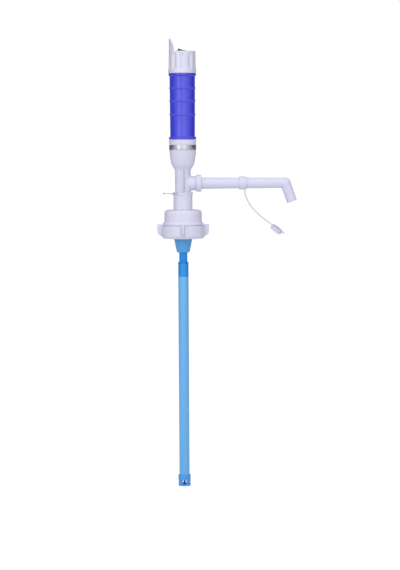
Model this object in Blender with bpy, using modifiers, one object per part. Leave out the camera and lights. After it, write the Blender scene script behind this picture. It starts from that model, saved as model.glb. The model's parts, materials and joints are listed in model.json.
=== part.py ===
"""Electric pump for a water jug, modelled as the pieces that it comes apart into.

Metres, +Z up. The origin is the centre of the plane where the jug's neck rim meets the
pump's gasket: the handle, motor and spout are above it, and the dip tube hangs below it.
The spout points along +X, and the switch guard stands on the -X side.
"""

import math

import bmesh
import bpy
from mathutils import Vector

for old_object in list(bpy.data.objects):
    bpy.data.objects.remove(old_object, do_unlink=True)

# Counts
SIDES_LARGE = 32
SIDES_MEDIUM = 26
SIDES_SMALL = 20
SIDES_INNER = 14
SIDES_FINE = 10
FLUTE_COUNT = 10
WING_COUNT = 4
COLLET_SLIT_COUNT = 12
FOOT_WINDOW_COUNT = 4
BUSH_ARM_COUNT = 3
IMPELLER_BLADE_COUNT = 4
ROUND_STEPS = 3
WING_CURVE_STEPS = 6
CLIP_STEPS = 10
IMPELLER_STEPS = 5
STRAP_PIECES = 12
SHARP_ANGLE = math.radians(35)

# Clearances
SEAT_GAP = 0.0003
RUN_GAP = 0.00015
OVERRUN = 0.003
MERGE_DISTANCE = 0.00001

# Neck gasket
GASKET_RADIUS = 0.0270
GASKET_THICKNESS = 0.0016

# Adapter sleeve, which stands in the collar and carries the pump head
SLEEVE_BORE = 0.0135
SLEEVE_RADIUS = 0.0160
SLEEVE_TOP = 0.0355
SLEEVE_REACH = 0.0360
SLEEVE_RIM_RADIUS = 0.0166
SLEEVE_RIM_HEIGHT = 0.0042
SLEEVE_FLANGE_RADIUS = 0.0250
SLEEVE_FLANGE_THICKNESS = 0.0014

# Lock clip, a flat fork through the sleeve's rim
CLIP_LEVEL = 0.0334
CLIP_THICKNESS = 0.0018
CLIP_PRONG_WIDTH = 0.0029
CLIP_PRONG_REACH = 0.0090
CLIP_TAB_REACH = 0.0330
CLIP_TAB_WIDTH = 0.0080
CLIP_KNOB_RADIUS = 0.0020
CLIP_KNOB_HEIGHT = 0.0027
CLIP_STOP_LENGTH = 0.0016
CLIP_STOP_DROP = 0.0022

# Collar dome
DOME_RADIUS = 0.0317
DOME_WALL = 0.0024
DOME_PLATE = 0.0022
DOME_ROUND = 0.0060
DOME_DEPTH = 0.0213
LIP_RADIUS = 0.03485
LIP_HEIGHT = 0.0030
LIP_FLARE = 0.0028
SKIRT_RADIUS = 0.0315
SKIRT_LENGTH = 0.0127

# Wing ring and clamp collet
RING_RADIUS = 0.0370
RING_HEIGHT = 0.0217
RING_TOP_GAP = 0.0005
RING_THREAD_GAP = 0.0004
RING_CHAMFER_WIDTH = 0.0030
RING_CHAMFER_HEIGHT = 0.0050
RING_EDGE = 0.0006
RING_FLOOR = 0.0020
RING_MOUTH = 0.0288
WING_REACH = 0.0440
WING_THICKNESS = 0.0045
WING_RISE = 0.0031
WING_INSET = 0.0356
WING_ROUND = 0.0012
WING_FOOT_INSET = 0.0350
WING_CURVE_HEIGHT = 0.0120
WING_FOOT_HEIGHT = 0.0020
COLLET_BORE = 0.0282
COLLET_WALL = 0.0032
COLLET_HEIGHT = 0.0067
COLLET_CONE = 0.0011
COLLET_CONE_HEIGHT = 0.0020
COLLET_SLIT_WIDTH = 0.0012
COLLET_HOOP = 0.0017

# Pump body: a bell for the motor over a straight water passage with a side outlet
BODY_RADIUS = 0.01335
WATER_BORE = 0.0085
SOCKET_BORE = 0.0110
SOCKET_BORE_DEPTH = 0.0240
SOCKET_BORE_CONE = 0.0025
CLIP_GROOVE_RADIUS = 0.0112
BELL_RADIUS = 0.02295
BELL_TOP = 0.1255
BELL_FOOT = 0.0700
BELL_FLOOR = 0.0780
BOWL_RADIUS = 0.0226
BOWL_SHARES = (
    (1.0, 1.0),
    (0.957, 0.836),
    (0.870, 0.674),
    (0.765, 0.517),
    (0.613, 0.386),
    (0.435, 0.290),
    (0.262, 0.212),
    (0.115, 0.139),
    (0.025, 0.070),
)
BAND_RADIUS = 0.0229
BAND_THICKNESS = 0.0005
BAND_DROP = 0.0099
BAND_WIDTH = 0.0082
MOTOR_BAY_RADIUS = 0.0192
MOTOR_BAY_FLOOR = 0.0937
MOTOR_WELL_RADIUS = 0.0145
MOTOR_WELL_FLOOR = 0.0820
SEAL_BORE = 0.0106
SEAL_SEAT = 0.0660
RIB_WIDTH = 0.0030
RIB_PROUD = 0.0016
RIB_TOP = 0.0820
RIB_ROOT = 0.0015
RIB_SHARES = ((0.08, 0.30), (0.22, 0.60), (0.46, 1.0), (0.35, 1.0))

# Head seal between the pump body's tail and the sleeve
HEAD_SEAL_LEVEL = 0.0124
HEAD_SEAL_WIDTH = 0.0012
HEAD_SEAL_GROOVE = 0.0012

# Outlet boss, union nut and spout
SPOUT_LEVEL = 0.0507
BOSS_RADIUS = 0.0121
BOSS_REACH = 0.0220
THREAD_RADIUS = 0.0111
THREAD_LENGTH = 0.0054
OUTLET_BORE = 0.0076
WASHER_THICKNESS = 0.0012
SPOUT_FLANGE_RADIUS = 0.0110
SPOUT_FLANGE_THICKNESS = 0.0012
SPOUT_ROOT_RADIUS = 0.00980
SPOUT_BEND_RADIUS = 0.00880
SPOUT_MOUTH_RADIUS = 0.00870
SPOUT_WALL = 0.0015
SPOUT_BEND_REACH = 0.1740
SPOUT_KNUCKLE_PROUD = 0.00025
NOZZLE_LENGTH = 0.0336
NOZZLE_LEAN = math.radians(19.5)
NUT_RADIUS = 0.0143
NUT_LIP = 0.0014
NUT_ROUND = 0.0016

# Tether ring, strap and nozzle cap
TETHER_RING_START = 0.0955
TETHER_RING_LENGTH = 0.0130
TETHER_RING_RADIUS = 0.0111
TETHER_SHOULDER_RADIUS = 0.0104
TETHER_SHOULDER_LENGTH = 0.0021
TETHER_LUG_SHARE = 0.73
TETHER_LUG_SIZE = 0.0026
TETHER_LUG_DROP = 0.0016
STRAP_RADIUS = 0.00115
STRAP_STEP = 0.0052
STRAP_SHARES = (
    (0.009, 0.101),
    (0.047, 0.185),
    (0.103, 0.294),
    (0.215, 0.454),
    (0.369, 0.605),
    (0.526, 0.727),
    (0.691, 0.832),
    (0.837, 0.910),
)
NOZZLE_CAP_REACH = 0.1609
NOZZLE_CAP_LEVEL = -0.0268
NOZZLE_CAP_TILT = math.radians(38.5)
NOZZLE_CAP_GAP = 0.0003
NOZZLE_CAP_WALL = 0.0012
NOZZLE_CAP_DEPTH = 0.0062
NOZZLE_PLATE_RADIUS = 0.0110
NOZZLE_PLATE_THICKNESS = 0.0015
NOZZLE_DOME_RADIUS = 0.0086
NOZZLE_DOME_RISE = 0.0019
NOZZLE_DOME_SHARES = ((0.42, 0.90), (0.80, 0.52), (1.0, 0.0))
THUMB_TAB_REACH = 0.0149
THUMB_TAB_WIDTH = 0.0080
STRAP_LUG_REACH = 0.0122
STRAP_LUG_WIDTH = 0.0032
STRAP_LUG_THICKNESS = 0.0026

# Battery barrel, cells and spring
BARREL_RADIUS = 0.0190
BARREL_BORE = 0.0173
BARREL_FLOOR = 0.0020
BARREL_FLOOR_RISE = 0.0005
BARREL_OVER_CELLS = 0.0017
BARREL_HOLE = 0.0030
SPIGOT_RADIUS = 0.0204
SPIGOT_LENGTH = 0.0080
SPIGOT_BORE = 0.0178
BARREL_THREAD_PROUD = 0.0006
BARREL_THREAD_DROP = 0.0030
BARREL_THREAD_RISE = 0.0060
CAP_SEAL_RISE = 0.0037
CAP_SEAL_WIDTH = 0.0014
CAP_SEAL_GROOVE = 0.0006
CELL_RADIUS = 0.0166
CELL_LENGTH = 0.0615
CELL_EDGE = 0.0010
CELL_NUB_RADIUS = 0.00475
CELL_NUB_HEIGHT = 0.0015
SPRING_HEIGHT = 0.0052
SPRING_WIRE = 0.0004
SPRING_BASE_RADIUS = 0.0100
SPRING_TIP_RADIUS = 0.0050
SPRING_TURNS = 4.5
SPRING_POINTS_PER_TURN = 10
SPRING_PLATE_RADIUS = 0.0115
SPRING_PLATE_THICKNESS = 0.0005
SPRING_RIVET_RADIUS = 0.0022
SPRING_RIVET_LENGTH = 0.0040
STRIP_WIDTH = 0.0058
STRIP_THICKNESS = 0.0004
STRIP_PROUD = 0.0002
STRIP_TAB_LENGTH = 0.0016

# Grip sleeve
GRIP_TOP_RADIUS = 0.0211
GRIP_FOOT_RADIUS = 0.0204
GRIP_FLANGE_RADIUS = 0.0232
GRIP_FLANGE_HEIGHT = 0.0038
GRIP_RING_PROUD = 0.0010
GRIP_RING_WIDTH = 0.0026
GRIP_RING_SHARES = (0.785, 0.590, 0.380)

# Contacts under the battery cap
RIM_CONTACT_THICKNESS = 0.0005
RIM_CONTACT_BORE = 0.0150
CONTACT_DISC_THICKNESS = 0.0022
CONTACT_HEAD_RADIUS = 0.0060
CONTACT_STEM_RADIUS = 0.0030
CONTACT_STEM_PROUD = 0.0003

# Battery cap with its fluted side and switch guard
CAP_HEIGHT = 0.0366
CAP_TOP_RADIUS = 0.0225
CAP_WAIST_RADIUS = 0.0232
CAP_FOOT_RADIUS = 0.0237
CAP_BORE = 0.0200
CAP_PLATE = 0.0025
CAP_EDGE = 0.0010
CAP_RIM_HEIGHT = 0.0064
FLUTE_RADIUS = 0.0090
FLUTE_DEPTH = 0.0012
FLUTE_TOP_MARGIN = 0.0042
GUARD_HEIGHT = 0.0215
GUARD_THICKNESS = 0.0022
GUARD_INSET = 0.0002
GUARD_HALF_ANGLE = math.radians(41)
GUARD_POWER = 2.15
GUARD_ROOT = 0.0020
GUARD_POINTS = 18

# Rocker switch
SWITCH_REACH = 0.0010
SWITCH_LENGTH = 0.0174
SWITCH_WIDTH = 0.0110
BEZEL_HEIGHT = 0.0008
SWITCH_CASE_LENGTH = 0.0160
SWITCH_CASE_WIDTH = 0.0090
SWITCH_CASE_DEPTH = 0.0092
POCKET_LENGTH = 0.0150
POCKET_WIDTH = 0.0078
POCKET_DEPTH = 0.0060
ROCKER_WIDTH = 0.0072
ROCKER_HALF_LENGTH = 0.0066
ROCKER_EAR_HEIGHT = 0.0036
ROCKER_DIP_HEIGHT = 0.0030
ROCKER_KEEL = 0.0032
ROCKER_SIDE_DROP = 0.0008
ROCKER_TILT = math.radians(15)
ROCKER_PIVOT_DROP = 0.0016
ROCKER_PIN_RADIUS = 0.0007
ROCKER_PIN_REACH = 0.0042
TERMINAL_SPACING = 0.0070
TERMINAL_WIDTH = 0.0026
TERMINAL_THICKNESS = 0.0006
TERMINAL_LENGTH = 0.0052
TERMINAL_DEPTH = 0.0028
TERMINAL_CLEARANCE = 0.0005

# Motor and its cradle
CRADLE_RADIUS = 0.0142
CRADLE_FLANGE_RADIUS = 0.0189
CRADLE_FLANGE_THICKNESS = 0.0022
CRADLE_FLOOR = 0.0022
CRADLE_FLOOR_LEVEL = 0.0848
CRADLE_HEIGHT = 0.0270
MOTOR_RADIUS = 0.0120
MOTOR_LENGTH = 0.0280
MOTOR_NOSE_RADIUS = 0.0036
MOTOR_NOSE_LENGTH = 0.0022
MOTOR_EDGE = 0.0010
MOTOR_END_RADIUS = 0.0116
MOTOR_END_HEIGHT = 0.0025
MOTOR_END_BOSS_RADIUS = 0.0030
MOTOR_END_BOSS_HEIGHT = 0.0014
MOTOR_TERMINAL_REACH = 0.0075
MOTOR_TERMINAL_WIDTH = 0.0028
MOTOR_TERMINAL_THICKNESS = 0.0005
MOTOR_TERMINAL_HEIGHT = 0.0030
MOTOR_SHAFT_RADIUS = 0.0010
SCREW_REACH = 0.0080
SCREW_HEAD_RADIUS = 0.0020
SCREW_HEAD_HEIGHT = 0.0016
SCREW_FACE_RADIUS = 0.0014
SCREW_RADIUS = 0.0012
SCREW_LENGTH = 0.0050

# Drive line
SHAFT_RADIUS = 0.0020
COUPLING_RADIUS = 0.0040
COUPLING_LENGTH = 0.0080
COUPLING_SOCKET = 0.0038
SEAL_CARRIER_HEIGHT = 0.0094
SEAL_POCKET_RADIUS = 0.0053
SEAL_POCKET_DEPTH = 0.0042
CARRIER_HOLE_RADIUS = 0.0026

# Tube socket below the sleeve
SPIGOT_SEAL_WIDTH = 0.0012
SPIGOT_SEAL_GROOVE = 0.0011
SOCKET_COLLAR_RADIUS = 0.0153
SOCKET_COLLAR_HEIGHT = 0.0080
SOCKET_CONE_RADIUS = 0.0110
SOCKET_CONE_HEIGHT = 0.0215
SOCKET_SHOULDER_HEIGHT = 0.0020
SOCKET_WALL = 0.0024
SOCKET_NECK_RADIUS = 0.00695
SOCKET_NECK_WALL = 0.0016
SOCKET_NECK_LENGTH = 0.0155
SOCKET_PLUG_LENGTH = 0.0110

# Dip tube, guide bushes, impeller and strainer foot
TUBE_RADIUS = 0.00875
TUBE_BORE = 0.00725
TUBE_LENGTH = 0.3681
TUBE_RING_RADIUS = 0.0091
TUBE_RING_HEIGHT = 0.0022
BUSH_SHARES = (0.12, 0.50, 0.88)
BUSH_HEIGHT = 0.0080
BUSH_RIM_WALL = 0.0009
BUSH_HUB_RADIUS = 0.0034
BUSH_ARM_WIDTH = 0.0012
IMPELLER_HUB_RADIUS = 0.0034
IMPELLER_HEIGHT = 0.0100
IMPELLER_RADIUS = 0.0068
IMPELLER_BLADE_THICKNESS = 0.0009
IMPELLER_TWIST = math.radians(75)
IMPELLER_RISE = 0.0040
FOOT_RADIUS = 0.0106
FOOT_HEIGHT = 0.0189
FOOT_COLLAR_DEPTH = 0.0054
FOOT_CHAMBER_RADIUS = 0.0076
FOOT_FLOOR = 0.0022
FOOT_EDGE = 0.0010
FOOT_WINDOW_WIDTH = 0.0062
FOOT_WINDOW_HEIGHT = 0.0072

# Levels that follow from the sizes above
flange_level = GASKET_THICKNESS + SEAT_GAP
dome_ceiling = flange_level + SLEEVE_FLANGE_THICKNESS + SEAT_GAP
dome_top = dome_ceiling + DOME_PLATE
ring_top = -DOME_DEPTH - RING_TOP_GAP
ring_foot = ring_top - RING_HEIGHT
collet_foot = ring_foot + RING_FLOOR + SEAT_GAP
ring_bore = SKIRT_RADIUS + RING_THREAD_GAP
tail_radius = SLEEVE_BORE - SEAT_GAP
tail_foot = -SLEEVE_REACH
clip_slot_height = CLIP_THICKNESS + SEAT_GAP + SEAT_GAP
clip_inner = CLIP_GROOVE_RADIUS + SEAT_GAP
clip_outer = clip_inner + CLIP_PRONG_WIDTH
band_top = BELL_TOP - BAND_DROP
band_foot = band_top - BAND_WIDTH
floor_top = BELL_TOP + BARREL_FLOOR_RISE
plate_level = floor_top + SEAT_GAP
spring_level = plate_level + SPRING_PLATE_THICKNESS + SEAT_GAP
lower_cell_level = spring_level + SPRING_HEIGHT + SEAT_GAP
upper_cell_level = lower_cell_level + CELL_LENGTH + SEAT_GAP
stack_top = upper_cell_level + CELL_LENGTH
barrel_top = stack_top + BARREL_OVER_CELLS
strip_tab_top = barrel_top + SEAT_GAP + STRIP_THICKNESS
rim_contact_level = strip_tab_top + SEAT_GAP
disc_level = rim_contact_level + RIM_CONTACT_THICKNESS + SEAT_GAP
contact_top = disc_level + CONTACT_DISC_THICKNESS + CONTACT_STEM_PROUD
switch_foot = contact_top + TERMINAL_CLEARANCE + TERMINAL_LENGTH - TERMINAL_DEPTH
bezel_level = switch_foot + SWITCH_CASE_DEPTH
bezel_top = bezel_level + BEZEL_HEIGHT
rocker_level = bezel_top - ROCKER_PIVOT_DROP
cap_top = bezel_level - SEAT_GAP
cap_foot = cap_top - CAP_HEIGHT
grip_foot = BELL_TOP + SEAT_GAP
grip_height = cap_foot - SEAT_GAP - grip_foot
motor_level = CRADLE_FLOOR_LEVEL + CRADLE_FLOOR + SEAT_GAP
motor_top = motor_level + MOTOR_LENGTH
coupling_top = CRADLE_FLOOR_LEVEL - SEAT_GAP - SEAT_GAP
coupling_foot = coupling_top - COUPLING_LENGTH
carrier_level = SEAL_SEAT + SEAT_GAP
washer_reach = BOSS_REACH + THREAD_LENGTH + SEAT_GAP
spout_start = washer_reach + WASHER_THICKNESS + SEAT_GAP
nut_lip_reach = spout_start + SPOUT_FLANGE_THICKNESS + SEAT_GAP
nut_start = BOSS_REACH + SEAT_GAP
nut_length = nut_lip_reach + NUT_LIP - nut_start
socket_top = tail_foot - SEAT_GAP
cone_level = socket_top - SOCKET_COLLAR_HEIGHT
shoulder_level = cone_level - SOCKET_CONE_HEIGHT
neck_foot = shoulder_level - SOCKET_SHOULDER_HEIGHT - SOCKET_NECK_LENGTH
tube_ring_level = neck_foot - TUBE_RING_HEIGHT + SEAT_GAP
tube_top = tube_ring_level - SEAT_GAP
tube_foot = tube_top - TUBE_LENGTH
foot_top = tube_foot + FOOT_COLLAR_DEPTH - SEAT_GAP
foot_level = foot_top - FOOT_HEIGHT
shaft_foot = foot_level + FOOT_FLOOR / 2
shaft_top = coupling_foot + COUPLING_SOCKET - SEAT_GAP
tether_lug_reach = TETHER_RING_START + TETHER_RING_LENGTH * TETHER_LUG_SHARE


def collection_named(name):
    collection = bpy.data.collections.new(name)
    bpy.context.scene.collection.children.link(collection)
    return collection


PARTS = collection_named("jug_pump")
CUTTERS = collection_named("jug_pump_cutters")


def plastic(name, colour, roughness, metallic=0.0):
    """A Principled BSDF material with one colour, roughness and metallic value."""
    material = bpy.data.materials.new(name)
    material.use_nodes = True
    shader = material.node_tree.nodes["Principled BSDF"]
    shader.inputs["Base Color"].default_value = (*colour, 1.0)
    shader.inputs["Roughness"].default_value = roughness
    shader.inputs["Metallic"].default_value = metallic
    material.diffuse_color = (*colour, 1.0)
    return material


WHITE = (0.76, 0.75, 0.86)
GREY_WHITE = (0.68, 0.68, 0.70)
GRIP_BLUE = (0.09, 0.10, 0.66)
WATER_BLUE = (0.10, 0.40, 0.80)
RUBBER = (0.05, 0.05, 0.05)
STEEL = (0.60, 0.60, 0.62)
BRASS = (0.75, 0.55, 0.25)
MAROON = (0.06, 0.01, 0.02)
BLACK = (0.02, 0.02, 0.02)


def keep(name, mesh, material):
    """A part: a mesh object named as its node, with its own material."""
    piece = bpy.data.objects.new(name, mesh)
    PARTS.objects.link(piece)
    mesh.materials.append(material)
    return piece


def as_cutter(piece):
    """Moves an object to the cutters: drawn as wire, and left out of the part."""
    for collection in list(piece.users_collection):
        collection.objects.unlink(piece)
    CUTTERS.objects.link(piece)
    piece.hide_render = True
    piece.display_type = "WIRE"
    return piece


def pivot(name, location, parent=None):
    """An empty on a joint's axis, which carries the pieces that move together."""
    empty = bpy.data.objects.new(name, None)
    PARTS.objects.link(empty)
    empty.empty_display_size = BODY_RADIUS
    empty.parent = parent
    base = Vector(parent["place"]) if parent else Vector((0, 0, 0))
    empty["place"] = tuple(location)
    empty.location = Vector(location) - base
    return empty


def carry(piece, parent):
    """Parents a piece to a pivot and keeps the piece's place in the world."""
    piece.location = piece.location - Vector(parent["place"])
    piece.parent = parent
    return piece


def arc(centre_radius, centre_height, radius, start, end, steps=ROUND_STEPS):
    """Points of a round edge, as (radius, height), from one angle to another."""
    points = []
    for step in range(steps + 1):
        angle = math.radians(start + (end - start) * step / steps)
        points.append(
            (centre_radius + radius * math.cos(angle), centre_height + radius * math.sin(angle))
        )
    return points


def turned_mesh(name, profile, closed):
    """The profile's outline in the XZ plane, as edges for a Screw modifier."""
    mesh = bpy.data.meshes.new(name)
    points = [(radius, 0, height) for radius, height in profile]
    edges = [(index, index + 1) for index in range(len(points) - 1)]
    if closed:
        edges.append((len(points) - 1, 0))
    mesh.from_pydata(points, edges, [])
    return mesh


def turned(name, profile, sides, material, closed=True):
    """A turned piece. The profile runs down its outer side; a closed one is a ring."""
    piece = keep(name, turned_mesh(name, profile, closed), material)
    screw = piece.modifiers.new("Turn", "SCREW")
    screw.steps = sides
    screw.render_steps = sides
    screw.use_merge_vertices = True
    screw.merge_threshold = MERGE_DISTANCE
    return piece


def ring_piece(name, inner, outer, height, sides, material):
    """A plain washer or bush that stands on its own base."""
    profile = [(inner, height), (outer, height), (outer, 0), (inner, 0)]
    return turned(name, profile, sides, material)


def seal_ring(name, inner, outer, width, sides, material):
    """A round rubber section: a six-sided ring of the given width."""
    middle = (inner + outer) / 2
    edge = (outer - inner) / 4
    profile = [
        (middle - edge, width / 2),
        (middle + edge, width / 2),
        (outer, 0),
        (middle + edge, -width / 2),
        (middle - edge, -width / 2),
        (inner, 0),
    ]
    return turned(name, profile, sides, material)


def block(name, size, centre, material=None):
    """A box of the given size about its centre."""
    bpy.ops.mesh.primitive_cube_add(size=1, location=centre)
    piece = bpy.context.object
    piece.name = name
    for corner in piece.data.vertices:
        corner.co = Vector(corner.co) * Vector(size)
    return adopt(piece, material)


def cone(name, base_radius, top_radius, length, sides, start, direction, material=None):
    """A cone or cylinder that runs from a start point along a direction."""
    bpy.ops.mesh.primitive_cone_add(
        vertices=sides, radius1=base_radius, radius2=top_radius, depth=length
    )
    piece = bpy.context.object
    piece.name = name
    along = Vector(direction).normalized()
    piece.rotation_euler = along.to_track_quat("Z", "Y").to_euler()
    piece.location = Vector(start) + along * length / 2
    return adopt(piece, material)


def ball(name, radius, sides, centre, material=None):
    """A sphere with its poles along Y."""
    bpy.ops.mesh.primitive_uv_sphere_add(
        segments=sides, ring_count=sides // 2, radius=radius, location=centre
    )
    piece = bpy.context.object
    piece.name = name
    piece.rotation_euler = (math.pi / 2, 0, 0)
    return adopt(piece, material)


def adopt(piece, material):
    """Moves a primitive to the parts, or to the cutters where it has no material."""
    if material is None:
        return as_cutter(piece)
    for collection in list(piece.users_collection):
        collection.objects.unlink(piece)
    PARTS.objects.link(piece)
    piece.data.materials.append(material)
    return piece


def as_mesh(piece):
    """Turns a curve object into a mesh object with its caps welded."""
    bpy.context.view_layer.update()
    graph = bpy.context.evaluated_depsgraph_get()
    mesh = bpy.data.meshes.new_from_object(piece.evaluated_get(graph))
    shape = bmesh_of(mesh)
    bmesh.ops.remove_doubles(shape, verts=shape.verts, dist=MERGE_DISTANCE)
    shape.to_mesh(mesh)
    shape.free()
    name = piece.name
    solid = bpy.data.objects.new(name, mesh)
    solid.matrix_world = piece.matrix_world
    PARTS.objects.link(solid)
    bpy.data.objects.remove(piece, do_unlink=True)
    solid.name = name
    return solid


def bmesh_of(mesh):
    shape = bmesh.new()
    shape.from_mesh(mesh)
    return shape


def plate(name, outline, thickness, material):
    """A flat outline in the XY plane, thickened evenly to both sides."""
    curve = bpy.data.curves.new(name, "CURVE")
    curve.dimensions = "2D"
    curve.fill_mode = "BOTH"
    curve.extrude = thickness / 2
    spline = curve.splines.new("POLY")
    spline.points.add(len(outline) - 1)
    for point, (x, y) in zip(spline.points, outline):
        point.co = (x, y, 0, 1)
    spline.use_cyclic_u = True
    piece = bpy.data.objects.new(name, curve)
    PARTS.objects.link(piece)
    solid = as_mesh(piece)
    solid.data.materials.clear()
    solid.data.materials.append(material)
    return solid


def combine(piece, other, operation):
    """A Boolean of one piece with another, whose own object becomes a hidden helper."""
    as_cutter(other)
    modifier = piece.modifiers.new(other.name, "BOOLEAN")
    modifier.operation = operation
    modifier.solver = "EXACT"
    modifier.object = other
    return piece


def fuse(piece, other):
    return combine(piece, other, "UNION")


def cut(piece, other):
    return combine(piece, other, "DIFFERENCE")


def along_x(piece, reach, level=SPOUT_LEVEL):
    """Turns a piece made along Z to lie along X, and puts its base at a reach."""
    piece.rotation_euler = (0, math.pi / 2, 0)
    piece.location = (reach, 0, level)
    return piece


def build_gasket():
    """The rubber washer that seals on the jug's neck rim."""
    inner = SLEEVE_RADIUS + SEAT_GAP
    rubber = plastic("gasket_rubber", GREY_WHITE, 0.6)
    return ring_piece(
        "neck_gasket", inner, GASKET_RADIUS, GASKET_THICKNESS, SIDES_MEDIUM, rubber
    )


def build_sleeve():
    """The tube through the collar, with the flange that hangs it under the dome."""
    rim_foot = SLEEVE_TOP - SLEEVE_RIM_HEIGHT
    flange_top = flange_level + SLEEVE_FLANGE_THICKNESS
    profile = [
        (SLEEVE_BORE, SLEEVE_TOP),
        (SLEEVE_RIM_RADIUS, SLEEVE_TOP),
        (SLEEVE_RIM_RADIUS, rim_foot),
        (SLEEVE_RADIUS, rim_foot),
        (SLEEVE_RADIUS, flange_top),
        (SLEEVE_FLANGE_RADIUS, flange_top),
        (SLEEVE_FLANGE_RADIUS, flange_level),
        (SLEEVE_RADIUS, flange_level),
        (SLEEVE_RADIUS, tail_foot),
        (SLEEVE_BORE, tail_foot),
    ]
    sleeve = turned(
        "adapter_sleeve", profile, SIDES_MEDIUM, plastic("sleeve_white", WHITE, 0.35)
    )
    slot_start = -SLEEVE_RIM_RADIUS - OVERRUN
    slot_end = CLIP_PRONG_REACH + SEAT_GAP
    slot_length = slot_end - slot_start
    slot_width = 2 * (clip_outer + SEAT_GAP)
    slot = block(
        "clip_slot",
        (slot_length, slot_width, clip_slot_height),
        (slot_start + slot_length / 2, 0, CLIP_LEVEL),
    )
    return cut(sleeve, slot)


def build_clip():
    """A fork whose prongs lie in the body's groove, with a tab to pull it out by."""
    outline = []
    for step in range(CLIP_STEPS + 1):
        angle = math.pi / 2 + math.pi * step / CLIP_STEPS
        outline.append((clip_outer * math.cos(angle), clip_outer * math.sin(angle)))
    outline.append((CLIP_PRONG_REACH, -clip_outer))
    outline.append((CLIP_PRONG_REACH, -clip_inner))
    for step in range(CLIP_STEPS + 1):
        angle = 3 * math.pi / 2 - math.pi * step / CLIP_STEPS
        outline.append((clip_inner * math.cos(angle), clip_inner * math.sin(angle)))
    outline.append((CLIP_PRONG_REACH, clip_inner))
    outline.append((CLIP_PRONG_REACH, clip_outer))
    grey = plastic("clip_white", GREY_WHITE, 0.4)
    clip = plate("lock_clip", outline, CLIP_THICKNESS, grey)
    clip.location = (0, 0, CLIP_LEVEL)
    tab_start = -clip_outer + CLIP_PRONG_WIDTH / 2
    tab_length = CLIP_TAB_REACH + tab_start
    tab_thickness = CLIP_THICKNESS - SEAT_GAP
    tab = block(
        "clip_tab",
        (tab_length, CLIP_TAB_WIDTH, tab_thickness),
        (tab_start - tab_length / 2, 0, CLIP_LEVEL),
    )
    knob = cone(
        "clip_knob",
        CLIP_KNOB_RADIUS,
        CLIP_KNOB_RADIUS,
        CLIP_KNOB_HEIGHT,
        SIDES_FINE,
        (CLIP_KNOB_RADIUS / 2 - CLIP_TAB_REACH, 0, CLIP_LEVEL - CLIP_KNOB_HEIGHT / 2),
        (0, 0, 1),
    )
    stop_reach = SLEEVE_RIM_RADIUS + SEAT_GAP + CLIP_STOP_LENGTH / 2
    stop = block(
        "clip_stop",
        (CLIP_STOP_LENGTH, CLIP_TAB_WIDTH / 2, CLIP_STOP_DROP),
        (-stop_reach, 0, CLIP_LEVEL - CLIP_STOP_DROP / 2),
    )
    fuse(clip, tab)
    fuse(clip, knob)
    return fuse(clip, stop)


def build_dome():
    """The collar's cover: a rounded cup with a lip, and a threaded skirt below it."""
    inner = SLEEVE_RADIUS + SEAT_GAP
    wall_radius = DOME_RADIUS - DOME_WALL
    lip_foot = -DOME_DEPTH
    lip_top = lip_foot + LIP_HEIGHT
    skirt_foot = lip_foot - SKIRT_LENGTH
    round_centre = DOME_RADIUS - DOME_ROUND
    profile = [(inner, dome_top)]
    profile += arc(round_centre, dome_top - DOME_ROUND, DOME_ROUND, 90, 0, 6)
    profile += [
        (DOME_RADIUS, lip_top + LIP_FLARE),
        (LIP_RADIUS, lip_top),
        (LIP_RADIUS, lip_foot),
        (SKIRT_RADIUS, lip_foot),
        (SKIRT_RADIUS, skirt_foot),
        (wall_radius, skirt_foot),
        (wall_radius, dome_ceiling - DOME_WALL),
        (wall_radius - DOME_WALL, dome_ceiling),
        (inner, dome_ceiling),
    ]
    return turned("collar_dome", profile, SIDES_LARGE, plastic("dome_white", WHITE, 0.35))


def wing_outline():
    """A wing seen from its side, as (reach, height) from the ring's foot."""
    top = RING_HEIGHT + WING_RISE
    outline = [(WING_FOOT_INSET, WING_FOOT_HEIGHT), (WING_INSET, top)]
    outline += arc(WING_REACH - WING_ROUND, top - WING_ROUND, WING_ROUND, 90, 0, 3)
    drop = WING_CURVE_HEIGHT - WING_FOOT_HEIGHT
    for step in range(WING_CURVE_STEPS):
        angle = math.pi / 2 * step / WING_CURVE_STEPS
        reach = WING_FOOT_INSET + (WING_REACH - WING_FOOT_INSET) * math.cos(angle)
        outline.append((reach, WING_CURVE_HEIGHT - drop * math.sin(angle)))
    return outline


def build_wing_ring():
    """The clamping ring that is turned by its four wings."""
    chamfer_foot = RING_RADIUS - RING_CHAMFER_WIDTH
    profile = [
        (ring_bore, RING_HEIGHT),
        (RING_RADIUS - RING_EDGE, RING_HEIGHT),
        (RING_RADIUS, RING_HEIGHT - RING_EDGE),
        (RING_RADIUS, RING_CHAMFER_HEIGHT),
        (chamfer_foot, 0),
        (RING_MOUTH, 0),
        (RING_MOUTH, RING_FLOOR),
        (ring_bore, RING_FLOOR),
    ]
    white = plastic("ring_white", WHITE, 0.35)
    ring = turned("wing_ring", profile, SIDES_LARGE, white)
    ring.location = (0, 0, ring_foot)
    for index in range(WING_COUNT):
        wing = plate("wing_%d" % (index + 1), wing_outline(), WING_THICKNESS, white)
        wing.rotation_euler = (math.pi / 2, 0, math.tau * index / WING_COUNT)
        wing.location = (0, 0, ring_foot)
        fuse(ring, wing)
    return ring


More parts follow.
